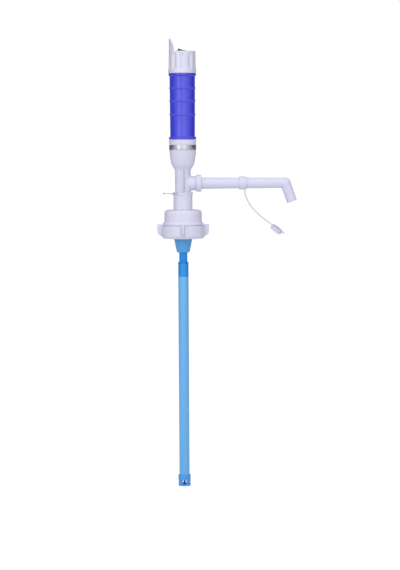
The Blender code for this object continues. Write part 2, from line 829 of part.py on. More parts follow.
def build_collet():
    """The slit ring that the wing ring presses around the jug's neck."""
    outer = COLLET_BORE + COLLET_WALL
    profile = [
        (COLLET_BORE, COLLET_HEIGHT),
        (outer - COLLET_CONE, COLLET_HEIGHT),
        (outer, COLLET_HEIGHT - COLLET_CONE_HEIGHT),
        (outer, 0),
        (COLLET_BORE, 0),
    ]
    collet = turned(
        "clamp_collet", profile, SIDES_LARGE, plastic("collet_white", GREY_WHITE, 0.5)
    )
    collet.location = (0, 0, collet_foot)
    slit_height = COLLET_HEIGHT - COLLET_HOOP + OVERRUN
    slit_length = COLLET_WALL + 2 * OVERRUN
    reach = COLLET_BORE + COLLET_WALL / 2
    for index in range(COLLET_SLIT_COUNT):
        angle = math.tau * (index + 0.5) / COLLET_SLIT_COUNT
        slit = block(
            "collet_slit_%d" % (index + 1),
            (slit_length, COLLET_SLIT_WIDTH, slit_height),
            (
                reach * math.cos(angle),
                reach * math.sin(angle),
                collet_foot + COLLET_HOOP + slit_height / 2,
            ),
        )
        slit.rotation_euler = (0, 0, angle)
        cut(collet, slit)
    return collet


def build_pump_body():
    """The moulded housing: motor bell, water passage, side outlet, rib and tail."""
    groove_top = CLIP_LEVEL + clip_slot_height / 2
    groove_foot = CLIP_LEVEL - clip_slot_height / 2
    seal_groove = tail_radius - HEAD_SEAL_GROOVE
    seal_half = HEAD_SEAL_WIDTH / 2 + SEAT_GAP
    band_groove = BAND_RADIUS - BAND_THICKNESS - SEAT_GAP
    bowl_height = band_foot - BELL_FOOT
    profile = [
        (0, BELL_TOP),
        (BELL_RADIUS, BELL_TOP),
        (BELL_RADIUS, band_top + SEAT_GAP),
        (band_groove, band_top + SEAT_GAP),
        (band_groove, band_foot - SEAT_GAP),
    ]
    for radial_share, height_share in BOWL_SHARES:
        radius = BODY_RADIUS + (BOWL_RADIUS - BODY_RADIUS) * radial_share
        height = BELL_FOOT + bowl_height * height_share - SEAT_GAP
        profile.append((radius, height))
    profile += [
        (BODY_RADIUS, BELL_FOOT - SEAT_GAP),
        (BODY_RADIUS, SLEEVE_TOP + SEAT_GAP),
        (tail_radius, SLEEVE_TOP + SEAT_GAP),
        (tail_radius, groove_top),
        (CLIP_GROOVE_RADIUS, groove_top),
        (CLIP_GROOVE_RADIUS, groove_foot),
        (tail_radius, groove_foot),
        (tail_radius, HEAD_SEAL_LEVEL + seal_half),
        (seal_groove, HEAD_SEAL_LEVEL + seal_half),
        (seal_groove, HEAD_SEAL_LEVEL - seal_half),
        (tail_radius, HEAD_SEAL_LEVEL - seal_half),
        (tail_radius, tail_foot),
        (0, tail_foot),
    ]
    white = plastic("body_white", WHITE, 0.35)
    body = turned("pump_body", profile, SIDES_LARGE, white, closed=False)
    boss = cone(
        "outlet_boss", BOSS_RADIUS, BOSS_RADIUS, BOSS_REACH, SIDES_SMALL,
        (0, 0, SPOUT_LEVEL), (1, 0, 0),
    )
    thread = cone(
        "outlet_thread", THREAD_RADIUS, THREAD_RADIUS, BOSS_REACH + THREAD_LENGTH, SIDES_SMALL,
        (0, 0, SPOUT_LEVEL), (1, 0, 0),
    )
    fuse(body, boss)
    fuse(body, thread)
    fuse(body, front_rib(white))
    cut(body, water_way())
    outlet = cone(
        "outlet_bore", OUTLET_BORE, OUTLET_BORE, BOSS_REACH + THREAD_LENGTH + OVERRUN,
        SIDES_SMALL, (0, 0, SPOUT_LEVEL), (1, 0, 0),
    )
    return cut(body, outlet)


def front_rib(material):
    """The web up the front of the water passage, which runs out on the bell."""
    root = BODY_RADIUS - RIB_ROOT
    face = BODY_RADIUS + RIB_PROUD
    foot = SLEEVE_TOP + 2 * SEAT_GAP
    outline = [(root, foot), (face, foot), (face, BELL_FOOT)]
    for reach_share, height_share in RIB_SHARES:
        reach = face + (BOWL_RADIUS - BODY_RADIUS) * reach_share
        outline.append((reach, BELL_FOOT + (RIB_TOP - BELL_FOOT) * height_share))
    outline.append((root, BELL_FOOT))
    rib = plate("front_rib", outline, RIB_WIDTH, material)
    rib.rotation_euler = (math.pi / 2, 0, -math.pi / 2)
    return rib


def water_way():
    """The hollow inside the body: socket bore, water passage, seal bore and motor bay."""
    cone_top = tail_foot + SOCKET_BORE_DEPTH + SOCKET_BORE_CONE
    spigot_ledge = BELL_TOP - SPIGOT_LENGTH - SEAT_GAP
    profile = [
        (0, BELL_TOP + OVERRUN),
        (SPIGOT_RADIUS + SEAT_GAP, BELL_TOP + OVERRUN),
        (SPIGOT_RADIUS + SEAT_GAP, spigot_ledge),
        (MOTOR_BAY_RADIUS, spigot_ledge),
        (MOTOR_BAY_RADIUS, MOTOR_BAY_FLOOR),
        (MOTOR_WELL_RADIUS, MOTOR_BAY_FLOOR),
        (MOTOR_WELL_RADIUS, MOTOR_WELL_FLOOR),
        (SEAL_BORE, BELL_FLOOR),
        (SEAL_BORE, SEAL_SEAT),
        (WATER_BORE, SEAL_SEAT),
        (WATER_BORE, cone_top),
        (SOCKET_BORE, tail_foot + SOCKET_BORE_DEPTH),
        (SOCKET_BORE, tail_foot - OVERRUN),
        (0, tail_foot - OVERRUN),
    ]
    white = bpy.data.materials["body_white"]
    return turned("water_way", profile, SIDES_MEDIUM, white, closed=False)


def build_head_seal():
    inner = tail_radius - HEAD_SEAL_GROOVE + SEAT_GAP / 2
    outer = SLEEVE_BORE - SEAT_GAP / 2
    rubber = plastic("head_seal_rubber", RUBBER, 0.6)
    seal = seal_ring("head_seal", inner, outer, HEAD_SEAL_WIDTH, SIDES_MEDIUM, rubber)
    seal.location = (0, 0, HEAD_SEAL_LEVEL)
    return seal


def build_band():
    """The bright metal band around the bell."""
    steel = plastic("band_steel", STEEL, 0.2, 1.0)
    inner = BAND_RADIUS - BAND_THICKNESS
    band = ring_piece("metal_band", inner, BAND_RADIUS, BAND_WIDTH, SIDES_LARGE, steel)
    band.location = (0, 0, band_foot)
    return band


def build_grip():
    """The soft sleeve over the barrel, with end flanges and raised rings."""
    inner = BARREL_RADIUS + SEAT_GAP
    flange_edge = (GRIP_FLANGE_RADIUS - GRIP_FOOT_RADIUS) / 4
    half_ring = GRIP_RING_WIDTH / 2
    usable = grip_height

    def side(height):
        return GRIP_FOOT_RADIUS + (GRIP_TOP_RADIUS - GRIP_FOOT_RADIUS) * height / usable

    flange_foot = usable - GRIP_FLANGE_HEIGHT
    profile = [
        (inner, usable),
        (GRIP_FLANGE_RADIUS - flange_edge, usable),
        (GRIP_FLANGE_RADIUS, usable - flange_edge),
        (GRIP_FLANGE_RADIUS, flange_foot + flange_edge),
        (side(flange_foot), flange_foot),
    ]
    for share in GRIP_RING_SHARES:
        middle = usable * share
        proud = side(middle) + GRIP_RING_PROUD
        profile += [
            (side(middle + half_ring), middle + half_ring),
            (proud, middle + half_ring / 3),
            (proud, middle - half_ring / 3),
            (side(middle - half_ring), middle - half_ring),
        ]
    profile += [
        (side(GRIP_FLANGE_HEIGHT), GRIP_FLANGE_HEIGHT),
        (GRIP_FLANGE_RADIUS, GRIP_FLANGE_HEIGHT - flange_edge),
        (GRIP_FLANGE_RADIUS, flange_edge),
        (GRIP_FLANGE_RADIUS - flange_edge, 0),
        (inner, 0),
    ]
    grip = turned("grip_sleeve", profile, SIDES_LARGE, plastic("grip_blue", GRIP_BLUE, 0.45))
    grip.location = (0, 0, grip_foot)
    return grip


def build_barrel():
    """The tube that holds the cells, with a spigot in the bell and a thread for the cap."""
    spigot_foot = BELL_TOP - SPIGOT_LENGTH
    spigot_top = BELL_TOP - SEAT_GAP
    floor_foot = floor_top - BARREL_FLOOR
    thread_top = barrel_top - BARREL_THREAD_DROP
    thread_foot = cap_foot + BARREL_THREAD_RISE
    proud = BARREL_RADIUS + BARREL_THREAD_PROUD
    seal_level = cap_foot + CAP_SEAL_RISE
    seal_half = CAP_SEAL_WIDTH / 2 + SEAT_GAP
    seal_groove = BARREL_RADIUS - CAP_SEAL_GROOVE
    profile = [
        (BARREL_BORE, barrel_top),
        (BARREL_RADIUS, barrel_top),
        (BARREL_RADIUS, thread_top),
        (proud, thread_top - BARREL_THREAD_PROUD),
        (proud, thread_foot + BARREL_THREAD_PROUD),
        (BARREL_RADIUS, thread_foot),
        (BARREL_RADIUS, seal_level + seal_half),
        (seal_groove, seal_level + seal_half),
        (seal_groove, seal_level - seal_half),
        (BARREL_RADIUS, seal_level - seal_half),
        (BARREL_RADIUS, spigot_top),
        (SPIGOT_RADIUS, spigot_top),
        (SPIGOT_RADIUS, spigot_foot),
        (SPIGOT_BORE, spigot_foot),
        (SPIGOT_BORE, floor_foot),
        (BARREL_HOLE, floor_foot),
        (BARREL_HOLE, floor_top),
        (BARREL_BORE, floor_top),
    ]
    barrel = turned("battery_barrel", profile, SIDES_MEDIUM, plastic("barrel_white", WHITE, 0.4))
    channel_start = BARREL_BORE - OVERRUN / 2
    channel_end = BARREL_BORE - STRIP_PROUD + STRIP_THICKNESS + SEAT_GAP
    channel_width = STRIP_WIDTH + 2 * SEAT_GAP
    channel_height = barrel_top + OVERRUN - floor_foot + OVERRUN
    channel = block(
        "strip_channel",
        (channel_width, channel_end - channel_start, channel_height),
        (0, (channel_start + channel_end) / 2, floor_foot - OVERRUN + channel_height / 2),
    )
    return cut(barrel, channel)


def build_strip():
    """The brass strip up the barrel's channel, with its tab over the barrel's rim."""
    inner = BARREL_BORE - STRIP_PROUD
    outer = inner + STRIP_THICKNESS
    tab_foot = strip_tab_top - STRIP_THICKNESS
    strip_foot = floor_top - BARREL_FLOOR - SEAT_GAP
    outline = [
        (inner, strip_foot),
        (outer, strip_foot),
        (outer, tab_foot),
        (outer + STRIP_TAB_LENGTH - STRIP_THICKNESS, tab_foot),
        (outer + STRIP_TAB_LENGTH - STRIP_THICKNESS, strip_tab_top),
        (inner, strip_tab_top),
    ]
    brass = plastic("strip_brass", BRASS, 0.3, 1.0)
    strip = plate("side_strip", outline, STRIP_WIDTH, brass)
    strip.rotation_euler = (math.pi / 2, 0, math.pi / 2)
    return strip


def build_cell(name, level):
    """A round dry cell with its raised end."""
    shoulder = CELL_LENGTH - CELL_NUB_HEIGHT
    profile = [
        (0, CELL_LENGTH),
        (CELL_NUB_RADIUS, CELL_LENGTH),
        (CELL_NUB_RADIUS, shoulder),
        (CELL_RADIUS - CELL_EDGE, shoulder),
        (CELL_RADIUS, shoulder - CELL_EDGE),
        (CELL_RADIUS, CELL_EDGE),
        (CELL_RADIUS - CELL_EDGE, 0),
        (0, 0),
    ]
    jacket = plastic(name + "_jacket", STEEL, 0.35, 0.6)
    cell = turned(name, profile, SIDES_INNER, jacket, closed=False)
    cell.location = (0, 0, level)
    return cell


def build_spring_plate():
    """The brass plate under the spring, riveted through the barrel's floor."""
    profile = [
        (0, SPRING_PLATE_THICKNESS),
        (SPRING_PLATE_RADIUS, SPRING_PLATE_THICKNESS),
        (SPRING_PLATE_RADIUS, 0),
        (SPRING_RIVET_RADIUS, 0),
        (SPRING_RIVET_RADIUS, -SPRING_RIVET_LENGTH),
        (0, -SPRING_RIVET_LENGTH),
    ]
    piece = turned(
        "spring_plate", profile, SIDES_INNER, plastic("plate_brass", BRASS, 0.3, 1.0), closed=False
    )
    piece.location = (0, 0, plate_level)
    return piece


def spring_points():
    """The spring's centre line: it narrows and rises at a steady rate."""
    count = round(SPRING_TURNS * SPRING_POINTS_PER_TURN)
    rise = SPRING_HEIGHT - 2 * SPRING_WIRE
    points = []
    for index in range(count + 1):
        share = index / count
        angle = math.tau * SPRING_TURNS * share
        radius = SPRING_BASE_RADIUS + (SPRING_TIP_RADIUS - SPRING_BASE_RADIUS) * share
        points.append(
            Vector((radius * math.cos(angle), radius * math.sin(angle), SPRING_WIRE + rise * share))
        )
    return points


def least_turn_gap(points):
    """The least space between the wire and itself, a half turn or more along."""
    apart = SPRING_POINTS_PER_TURN // 2
    least = min(
        (points[first] - points[second]).length
        for first in range(len(points))
        for second in range(first + apart, len(points))
    )
    return least - 2 * SPRING_WIRE


def tube_along(name, points, radius, resolution, material):
    """A round tube with filled caps along a list of points."""
    curve = bpy.data.curves.new(name, "CURVE")
    curve.dimensions = "3D"
    curve.bevel_depth = radius
    curve.bevel_resolution = resolution
    curve.use_fill_caps = True
    spline = curve.splines.new("POLY")
    spline.points.add(len(points) - 1)
    for point, place in zip(spline.points, points):
        point.co = (*place, 1)
    curve.materials.append(material)
    tube = bpy.data.objects.new(name, curve)
    PARTS.objects.link(tube)
    return tube


def build_spring():
    points = spring_points()
    print("battery_spring least gap to itself %.5f m" % least_turn_gap(points))
    steel = plastic("spring_steel", STEEL, 0.25, 1.0)
    spring = tube_along("battery_spring", points, SPRING_WIRE, 1, steel)
    spring.location = (0, 0, spring_level)
    return spring


def build_contacts():
    """The pieces between the cells and the switch: rim ring, disc and centre contact."""
    rim = ring_piece(
        "rim_contact", RIM_CONTACT_BORE, CAP_BORE - 2 * SEAT_GAP, RIM_CONTACT_THICKNESS,
        SIDES_MEDIUM, plastic("rim_brass", BRASS, 0.3, 1.0),
    )
    rim.location = (0, 0, rim_contact_level)
    disc = ring_piece(
        "contact_disc", CONTACT_STEM_RADIUS + SEAT_GAP, CAP_BORE - 2 * SEAT_GAP,
        CONTACT_DISC_THICKNESS, SIDES_MEDIUM, plastic("disc_black", BLACK, 0.5),
    )
    disc.location = (0, 0, disc_level)
    head_foot = stack_top + SEAT_GAP
    head_top = disc_level - SEAT_GAP
    profile = [
        (0, contact_top - head_foot),
        (CONTACT_STEM_RADIUS, contact_top - head_foot),
        (CONTACT_STEM_RADIUS, head_top - head_foot),
        (CONTACT_HEAD_RADIUS, head_top - head_foot),
        (CONTACT_HEAD_RADIUS, CELL_EDGE),
        (CONTACT_HEAD_RADIUS - CELL_EDGE, 0),
        (0, 0),
    ]
    contact = turned(
        "centre_contact", profile, SIDES_INNER, plastic("centre_brass", BRASS, 0.3, 1.0), closed=False
    )
    contact.location = (0, 0, head_foot)
    return [rim, disc, contact]


def build_cap():
    """The screw cap: tapered and fluted, with a hole for the switch and a guard beside it."""
    plate_foot = CAP_HEIGHT - CAP_PLATE
    profile = [(0, CAP_HEIGHT)]
    profile += arc(CAP_TOP_RADIUS - CAP_EDGE, CAP_HEIGHT - CAP_EDGE, CAP_EDGE, 90, 0, 3)
    profile += [
        (CAP_WAIST_RADIUS, CAP_RIM_HEIGHT),
        (CAP_FOOT_RADIUS, CAP_RIM_HEIGHT / 2),
        (CAP_FOOT_RADIUS, 0),
        (CAP_BORE, 0),
        (CAP_BORE, plate_foot),
        (0, plate_foot),
    ]
    white = plastic("cap_white", WHITE, 0.3)
    cap = turned("battery_cap", profile, SIDES_LARGE, white, closed=False)
    cap.location = (0, 0, cap_foot)
    flute_reach = CAP_WAIST_RADIUS - FLUTE_DEPTH + FLUTE_RADIUS
    flute_height = CAP_HEIGHT - CAP_RIM_HEIGHT - FLUTE_TOP_MARGIN
    taper = (CAP_WAIST_RADIUS - CAP_TOP_RADIUS) / (CAP_HEIGHT - CAP_RIM_HEIGHT)
    for index in range(FLUTE_COUNT):
        angle = math.tau * (index + 0.5) / FLUTE_COUNT
        out = Vector((math.cos(angle), math.sin(angle), 0))
        flute = cone(
            "cap_flute_%d" % (index + 1), FLUTE_RADIUS, FLUTE_RADIUS, flute_height, SIDES_MEDIUM,
            out * flute_reach + Vector((0, 0, cap_foot + CAP_RIM_HEIGHT)),
            Vector((0, 0, 1)) - out * taper,
        )
        cut(cap, flute)
    hole = block(
        "switch_hole",
        (SWITCH_CASE_LENGTH + 2 * SEAT_GAP, SWITCH_CASE_WIDTH + 2 * SEAT_GAP, CAP_PLATE + 2 * OVERRUN),
        (-SWITCH_REACH, 0, cap_top - CAP_PLATE / 2),
    )
    cut(cap, hole)
    return fuse(cap, switch_guard(white))


def switch_guard(material):
    """The tongue of the cap's wall that stands beside the switch."""
    outer = CAP_TOP_RADIUS - GUARD_INSET
    root = cap_top - GUARD_ROOT
    height = GUARD_HEIGHT + GUARD_ROOT
    guard = ring_piece(
        "switch_guard", outer - GUARD_THICKNESS, outer, height + OVERRUN, SIDES_LARGE, material
    )
    guard.location = (0, 0, root)
    outline = [(-outer * math.sin(GUARD_HALF_ANGLE), root - OVERRUN)]
    for step in range(GUARD_POINTS + 1):
        turn = math.pi * (1 - step / GUARD_POINTS)
        across = abs(math.cos(turn)) ** (2 / GUARD_POWER)
        up = math.sin(turn) ** (2 / GUARD_POWER)
        angle = GUARD_HALF_ANGLE * math.copysign(across, math.cos(turn))
        outline.append((outer * math.sin(angle), cap_top + GUARD_HEIGHT * up))
    outline.append((outer * math.sin(GUARD_HALF_ANGLE), root - OVERRUN))
    near = outer * math.cos(GUARD_HALF_ANGLE) / 2
    far = outer + OVERRUN
    slab = plate("guard_outline", outline, far - near, material)
    slab.rotation_euler = (math.pi / 2, 0, math.pi / 2)
    slab.location = (-(near + far) / 2, 0, 0)
    return combine(guard, slab, "INTERSECT")


def build_cap_seal():
    seal_level = cap_foot + CAP_SEAL_RISE
    inner = BARREL_RADIUS - CAP_SEAL_GROOVE + SEAT_GAP / 2
    rubber = plastic("cap_seal_rubber", RUBBER, 0.6)
    seal = seal_ring(
        "cap_seal", inner, CAP_BORE - SEAT_GAP / 2, CAP_SEAL_WIDTH, SIDES_MEDIUM, rubber
    )
    seal.location = (0, 0, seal_level)
    return seal


def build_switch():
    """The switch case with its bezel, rocker pocket and pin holes, and two blades."""
    black = plastic("switch_black", BLACK, 0.4)
    case = block(
        "switch_case", (SWITCH_LENGTH, SWITCH_WIDTH, BEZEL_HEIGHT),
        (-SWITCH_REACH, 0, bezel_level + BEZEL_HEIGHT / 2), black,
    )
    case_height = SWITCH_CASE_DEPTH + BEZEL_HEIGHT / 2
    body = block(
        "switch_case_body", (SWITCH_CASE_LENGTH, SWITCH_CASE_WIDTH, case_height),
        (-SWITCH_REACH, 0, switch_foot + case_height / 2), black,
    )
    pocket_height = POCKET_DEPTH + OVERRUN
    pocket = block(
        "rocker_pocket", (POCKET_LENGTH, POCKET_WIDTH, pocket_height),
        (-SWITCH_REACH, 0, bezel_top - POCKET_DEPTH + pocket_height / 2),
    )
    pin_hole = cone(
        "pin_hole", ROCKER_PIN_RADIUS + SEAT_GAP, ROCKER_PIN_RADIUS + SEAT_GAP,
        2 * (ROCKER_PIN_REACH + SEAT_GAP), SIDES_FINE,
        (-SWITCH_REACH, -ROCKER_PIN_REACH - SEAT_GAP, rocker_level), (0, 1, 0),
    )
    fuse(case, body)
    cut(case, pocket)
    cut(case, pin_hole)
    pieces = [case]
    brass = plastic("terminal_brass", BRASS, 0.3, 1.0)
    for index, side in enumerate((-1, 1)):
        reach = side * TERMINAL_SPACING / 2 - SWITCH_REACH
        slot_depth = TERMINAL_DEPTH + SEAT_GAP
        slot = block(
            "terminal_slot_%d" % (index + 1),
            (TERMINAL_THICKNESS + 2 * RUN_GAP, TERMINAL_WIDTH + 2 * RUN_GAP, slot_depth + OVERRUN),
            (reach, 0, switch_foot + slot_depth - (slot_depth + OVERRUN) / 2),
        )
        cut(case, slot)
        blade = block(
            "switch_terminal_%d" % (index + 1),
            (TERMINAL_THICKNESS, TERMINAL_WIDTH, TERMINAL_LENGTH),
            (reach, 0, switch_foot + TERMINAL_DEPTH - TERMINAL_LENGTH / 2), brass,
        )
        pieces.append(blade)
    return pieces


def build_rocker():
    """The rocker on its two pins, pressed down on its +X end."""
    half = ROCKER_HALF_LENGTH
    outline = [
        (-half, ROCKER_EAR_HEIGHT),
        (-half, -ROCKER_SIDE_DROP),
        (0, -ROCKER_KEEL),
        (half, -ROCKER_SIDE_DROP),
        (half, ROCKER_EAR_HEIGHT),
        (half / 2, (ROCKER_EAR_HEIGHT + ROCKER_DIP_HEIGHT) / 2 - RUN_GAP),
        (0, ROCKER_DIP_HEIGHT),
        (-half / 2, (ROCKER_EAR_HEIGHT + ROCKER_DIP_HEIGHT) / 2 - RUN_GAP),
    ]
    maroon = plastic("rocker_maroon", MAROON, 0.3)
    rocker = plate("switch_rocker", outline, ROCKER_WIDTH, maroon)
    rocker.rotation_euler = (math.pi / 2, ROCKER_TILT, 0)
    rocker.location = (-SWITCH_REACH, 0, rocker_level)
    pin = cone(
        "rocker_pins", ROCKER_PIN_RADIUS, ROCKER_PIN_RADIUS, 2 * ROCKER_PIN_REACH, SIDES_FINE,
        (-SWITCH_REACH, -ROCKER_PIN_REACH, rocker_level), (0, 1, 0),
    )
    return fuse(rocker, pin)


def build_motor():
    """The cradle, the motor's can and end cap, its two blades and its two screws."""
    cradle_bore = MOTOR_RADIUS + SEAT_GAP
    nose_hole = MOTOR_NOSE_RADIUS + SEAT_GAP
    flange_foot = MOTOR_BAY_FLOOR + SEAT_GAP - CRADLE_FLOOR_LEVEL
    flange_top = flange_foot + CRADLE_FLANGE_THICKNESS
    cradle_profile = [
        (cradle_bore, CRADLE_HEIGHT),
        (CRADLE_RADIUS, CRADLE_HEIGHT),
        (CRADLE_RADIUS, flange_top),
        (CRADLE_FLANGE_RADIUS, flange_top),
        (CRADLE_FLANGE_RADIUS, flange_foot),
        (CRADLE_RADIUS, flange_foot),
        (CRADLE_RADIUS, 0),
        (nose_hole, 0),
        (nose_hole, CRADLE_FLOOR),
        (cradle_bore, CRADLE_FLOOR),
    ]
    cradle = turned(
        "motor_cradle", cradle_profile, SIDES_INNER, plastic("cradle_grey", GREY_WHITE, 0.5)
    )
    cradle.location = (0, 0, CRADLE_FLOOR_LEVEL)
    shaft_hole = MOTOR_SHAFT_RADIUS + RUN_GAP
    can_profile = [
        (shaft_hole, MOTOR_LENGTH),
        (MOTOR_RADIUS, MOTOR_LENGTH),
        (MOTOR_RADIUS, MOTOR_EDGE),
        (MOTOR_RADIUS - MOTOR_EDGE, 0),
        (MOTOR_NOSE_RADIUS, 0),
        (MOTOR_NOSE_RADIUS, -MOTOR_NOSE_LENGTH),
        (shaft_hole, -MOTOR_NOSE_LENGTH),
    ]
    can = turned("motor_can", can_profile, SIDES_INNER, plastic("can_steel", STEEL, 0.3, 1.0))
    can.location = (0, 0, motor_level)
    end_profile = [
        (shaft_hole, MOTOR_END_HEIGHT + MOTOR_END_BOSS_HEIGHT),
        (MOTOR_END_BOSS_RADIUS, MOTOR_END_HEIGHT + MOTOR_END_BOSS_HEIGHT),
        (MOTOR_END_BOSS_RADIUS, MOTOR_END_HEIGHT),
        (MOTOR_END_RADIUS, MOTOR_END_HEIGHT),
        (MOTOR_END_RADIUS, 0),
        (shaft_hole, 0),
    ]
    end_cap = turned("motor_end_cap", end_profile, SIDES_INNER, plastic("end_black", BLACK, 0.5))
    end_cap.location = (0, 0, motor_top + SEAT_GAP)
    pieces = [cradle, can, end_cap]
    brass = plastic("motor_blade_brass", BRASS, 0.3, 1.0)
    steel = plastic("screw_steel", STEEL, 0.3, 1.0)
    blade_level = motor_top + SEAT_GAP + MOTOR_END_HEIGHT + SEAT_GAP
    for index, side in enumerate((-1, 1)):
        blade = block(
            "motor_terminal_%d" % (index + 1),
            (MOTOR_TERMINAL_THICKNESS, MOTOR_TERMINAL_WIDTH, MOTOR_TERMINAL_HEIGHT),
            (side * MOTOR_TERMINAL_REACH, 0, blade_level + MOTOR_TERMINAL_HEIGHT / 2), brass,
        )
        pieces.append(blade)
        reach = (side * SCREW_REACH, 0, 0)
        pieces.append(build_screw("motor_screw_%d" % (index + 1), reach, steel))
        cut(cradle, screw_hole("cradle_hole_%d" % (index + 1), reach))
        cut(can, screw_hole("can_hole_%d" % (index + 1), reach))
    return pieces


def build_screw(name, reach, material):
    """A pan-head screw, up through the cradle's floor into the motor."""
    profile = [
        (0, SCREW_LENGTH),
        (SCREW_RADIUS, SCREW_LENGTH),
        (SCREW_RADIUS, 0),
        (SCREW_HEAD_RADIUS, 0),
        (SCREW_HEAD_RADIUS, -SCREW_HEAD_HEIGHT / 2),
        (SCREW_FACE_RADIUS, -SCREW_HEAD_HEIGHT),
        (0, -SCREW_HEAD_HEIGHT),
    ]
    screw = turned(name, profile, SIDES_FINE, material, closed=False)
    screw.location = Vector(reach) + Vector((0, 0, CRADLE_FLOOR_LEVEL - SEAT_GAP))
    return screw


def screw_hole(name, reach):
    radius = SCREW_RADIUS + SEAT_GAP
    start = Vector(reach) + Vector((0, 0, CRADLE_FLOOR_LEVEL - OVERRUN / 2))
    length = SCREW_LENGTH + OVERRUN / 2
    return cone(name, radius, radius, length, SIDES_FINE, start, (0, 0, 1))


def build_drive_line():
    """The turning pieces: motor shaft, coupling, long drive shaft and impeller."""
    steel = plastic("shaft_steel", STEEL, 0.2, 1.0)
    motor_shaft_foot = coupling_top - COUPLING_SOCKET + SEAT_GAP
    motor_shaft_top = motor_top + SEAT_GAP + MOTOR_END_HEIGHT
    motor_shaft = cone(
        "motor_shaft", MOTOR_SHAFT_RADIUS, MOTOR_SHAFT_RADIUS, motor_shaft_top - motor_shaft_foot,
        SIDES_FINE, (0, 0, motor_shaft_foot), (0, 0, 1), steel,
    )
    upper_bore = MOTOR_SHAFT_RADIUS + RUN_GAP
    lower_bore = SHAFT_RADIUS + RUN_GAP
    coupling_profile = [
        (upper_bore, COUPLING_LENGTH),
        (COUPLING_RADIUS, COUPLING_LENGTH),
        (COUPLING_RADIUS, 0),
        (lower_bore, 0),
        (lower_bore, COUPLING_SOCKET),
        (upper_bore, COUPLING_SOCKET),
    ]
    coupling = turned(
        "shaft_coupling", coupling_profile, SIDES_INNER, plastic("coupling_black", BLACK, 0.5)
    )
    coupling.location = (0, 0, coupling_foot)
    drive_steel = plastic("drive_steel", STEEL, 0.2, 1.0)
    drive_shaft = cone(
        "drive_shaft", SHAFT_RADIUS, SHAFT_RADIUS, shaft_top - shaft_foot, SIDES_FINE,
        (0, 0, shaft_foot), (0, 0, 1), drive_steel,
    )
    return [motor_shaft, coupling, drive_shaft, build_impeller()]


def build_impeller():
    """A screw-shaped impeller: helical blades, swept from a spoke, around a hub."""
    white = plastic("impeller_white", WHITE, 0.4)
    level = tube_foot + IMPELLER_RISE
    bore = SHAFT_RADIUS + RUN_GAP
    hub = ring_piece("impeller", bore, IMPELLER_HUB_RADIUS, IMPELLER_HEIGHT, SIDES_INNER, white)
    hub.location = (0, 0, level)
    root = (bore + IMPELLER_HUB_RADIUS) / 2
    tip = IMPELLER_RADIUS
    margin = IMPELLER_HEIGHT / 10
    for index in range(IMPELLER_BLADE_COUNT):
        mesh = bpy.data.meshes.new("blade")
        mesh.from_pydata([(root, 0, 0), ((root + tip) / 2, 0, 0), (tip, 0, 0)], [(0, 1), (1, 2)], [])
        blade = keep("impeller_blade_%d" % (index + 1), mesh, white)
        sweep = blade.modifiers.new("Sweep", "SCREW")
        sweep.angle = IMPELLER_TWIST
        sweep.screw_offset = IMPELLER_HEIGHT - 2 * margin
        sweep.steps = IMPELLER_STEPS
        sweep.render_steps = IMPELLER_STEPS
        sweep.merge_threshold = MERGE_DISTANCE
        shell = blade.modifiers.new("Thickness", "SOLIDIFY")
        shell.thickness = IMPELLER_BLADE_THICKNESS
        shell.offset = 0
        blade.rotation_euler = (0, 0, math.tau * index / IMPELLER_BLADE_COUNT)
        blade.location = (0, 0, level + margin)
        fuse(hub, blade)
    return hub


def build_shaft_seal():
    """The bulkhead between water and motor, and the lip seal in its pocket."""
    outer = SEAL_BORE - SEAT_GAP
    pocket_floor = SEAL_CARRIER_HEIGHT - SEAL_POCKET_DEPTH
    profile = [
        (SEAL_POCKET_RADIUS, SEAL_CARRIER_HEIGHT),
        (outer, SEAL_CARRIER_HEIGHT),
        (outer, 0),
        (CARRIER_HOLE_RADIUS, 0),
        (CARRIER_HOLE_RADIUS, pocket_floor),
        (SEAL_POCKET_RADIUS, pocket_floor),
    ]
    carrier = turned(
        "seal_carrier", profile, SIDES_INNER, plastic("carrier_white", GREY_WHITE, 0.5)
    )
    carrier.location = (0, 0, carrier_level)
    rubber = plastic("shaft_seal_rubber", RUBBER, 0.6)
    seal = ring_piece(
        "shaft_seal", SHAFT_RADIUS + RUN_GAP, SEAL_POCKET_RADIUS - SEAT_GAP,
        SEAL_POCKET_DEPTH - 2 * SEAT_GAP, SIDES_INNER, rubber,
    )
    seal.location = (0, 0, carrier_level + pocket_floor + SEAT_GAP)
    return [carrier, seal]


def build_washer():
    rubber = plastic("washer_rubber", RUBBER, 0.6)
    washer = ring_piece(
        "outlet_washer", OUTLET_BORE + SEAT_GAP, THREAD_RADIUS - SEAT_GAP, WASHER_THICKNESS,
        SIDES_SMALL, rubber,
    )
    return along_x(washer, washer_reach)


def spout_radius(reach):
    """The straight tube's radius at a distance from the pump's axis."""
    span = SPOUT_BEND_REACH - spout_start
    share = (reach - spout_start) / span
    return SPOUT_ROOT_RADIUS + (SPOUT_BEND_RADIUS - SPOUT_ROOT_RADIUS) * share


def build_nut():
    """The union nut, with a lip that holds the spout's flange."""
    lip_bore = spout_radius(nut_lip_reach) + SEAT_GAP
    bore = THREAD_RADIUS + SEAT_GAP
    lip_foot = nut_length - NUT_LIP
    profile = [(lip_bore, nut_length)]
    profile += arc(NUT_RADIUS - NUT_ROUND, nut_length - NUT_ROUND, NUT_ROUND, 90, 0)
    profile += arc(NUT_RADIUS - NUT_ROUND, NUT_ROUND, NUT_ROUND, 0, -90)
    profile += [(BOSS_RADIUS + SEAT_GAP, 0), (bore, SEAT_GAP), (bore, lip_foot), (lip_bore, lip_foot)]
    nut = turned("union_nut", profile, SIDES_MEDIUM, plastic("nut_white", WHITE, 0.35))
    return along_x(nut, nut_start)


def nozzle_direction():
    return Vector((math.sin(NOZZLE_LEAN), 0, -math.cos(NOZZLE_LEAN)))


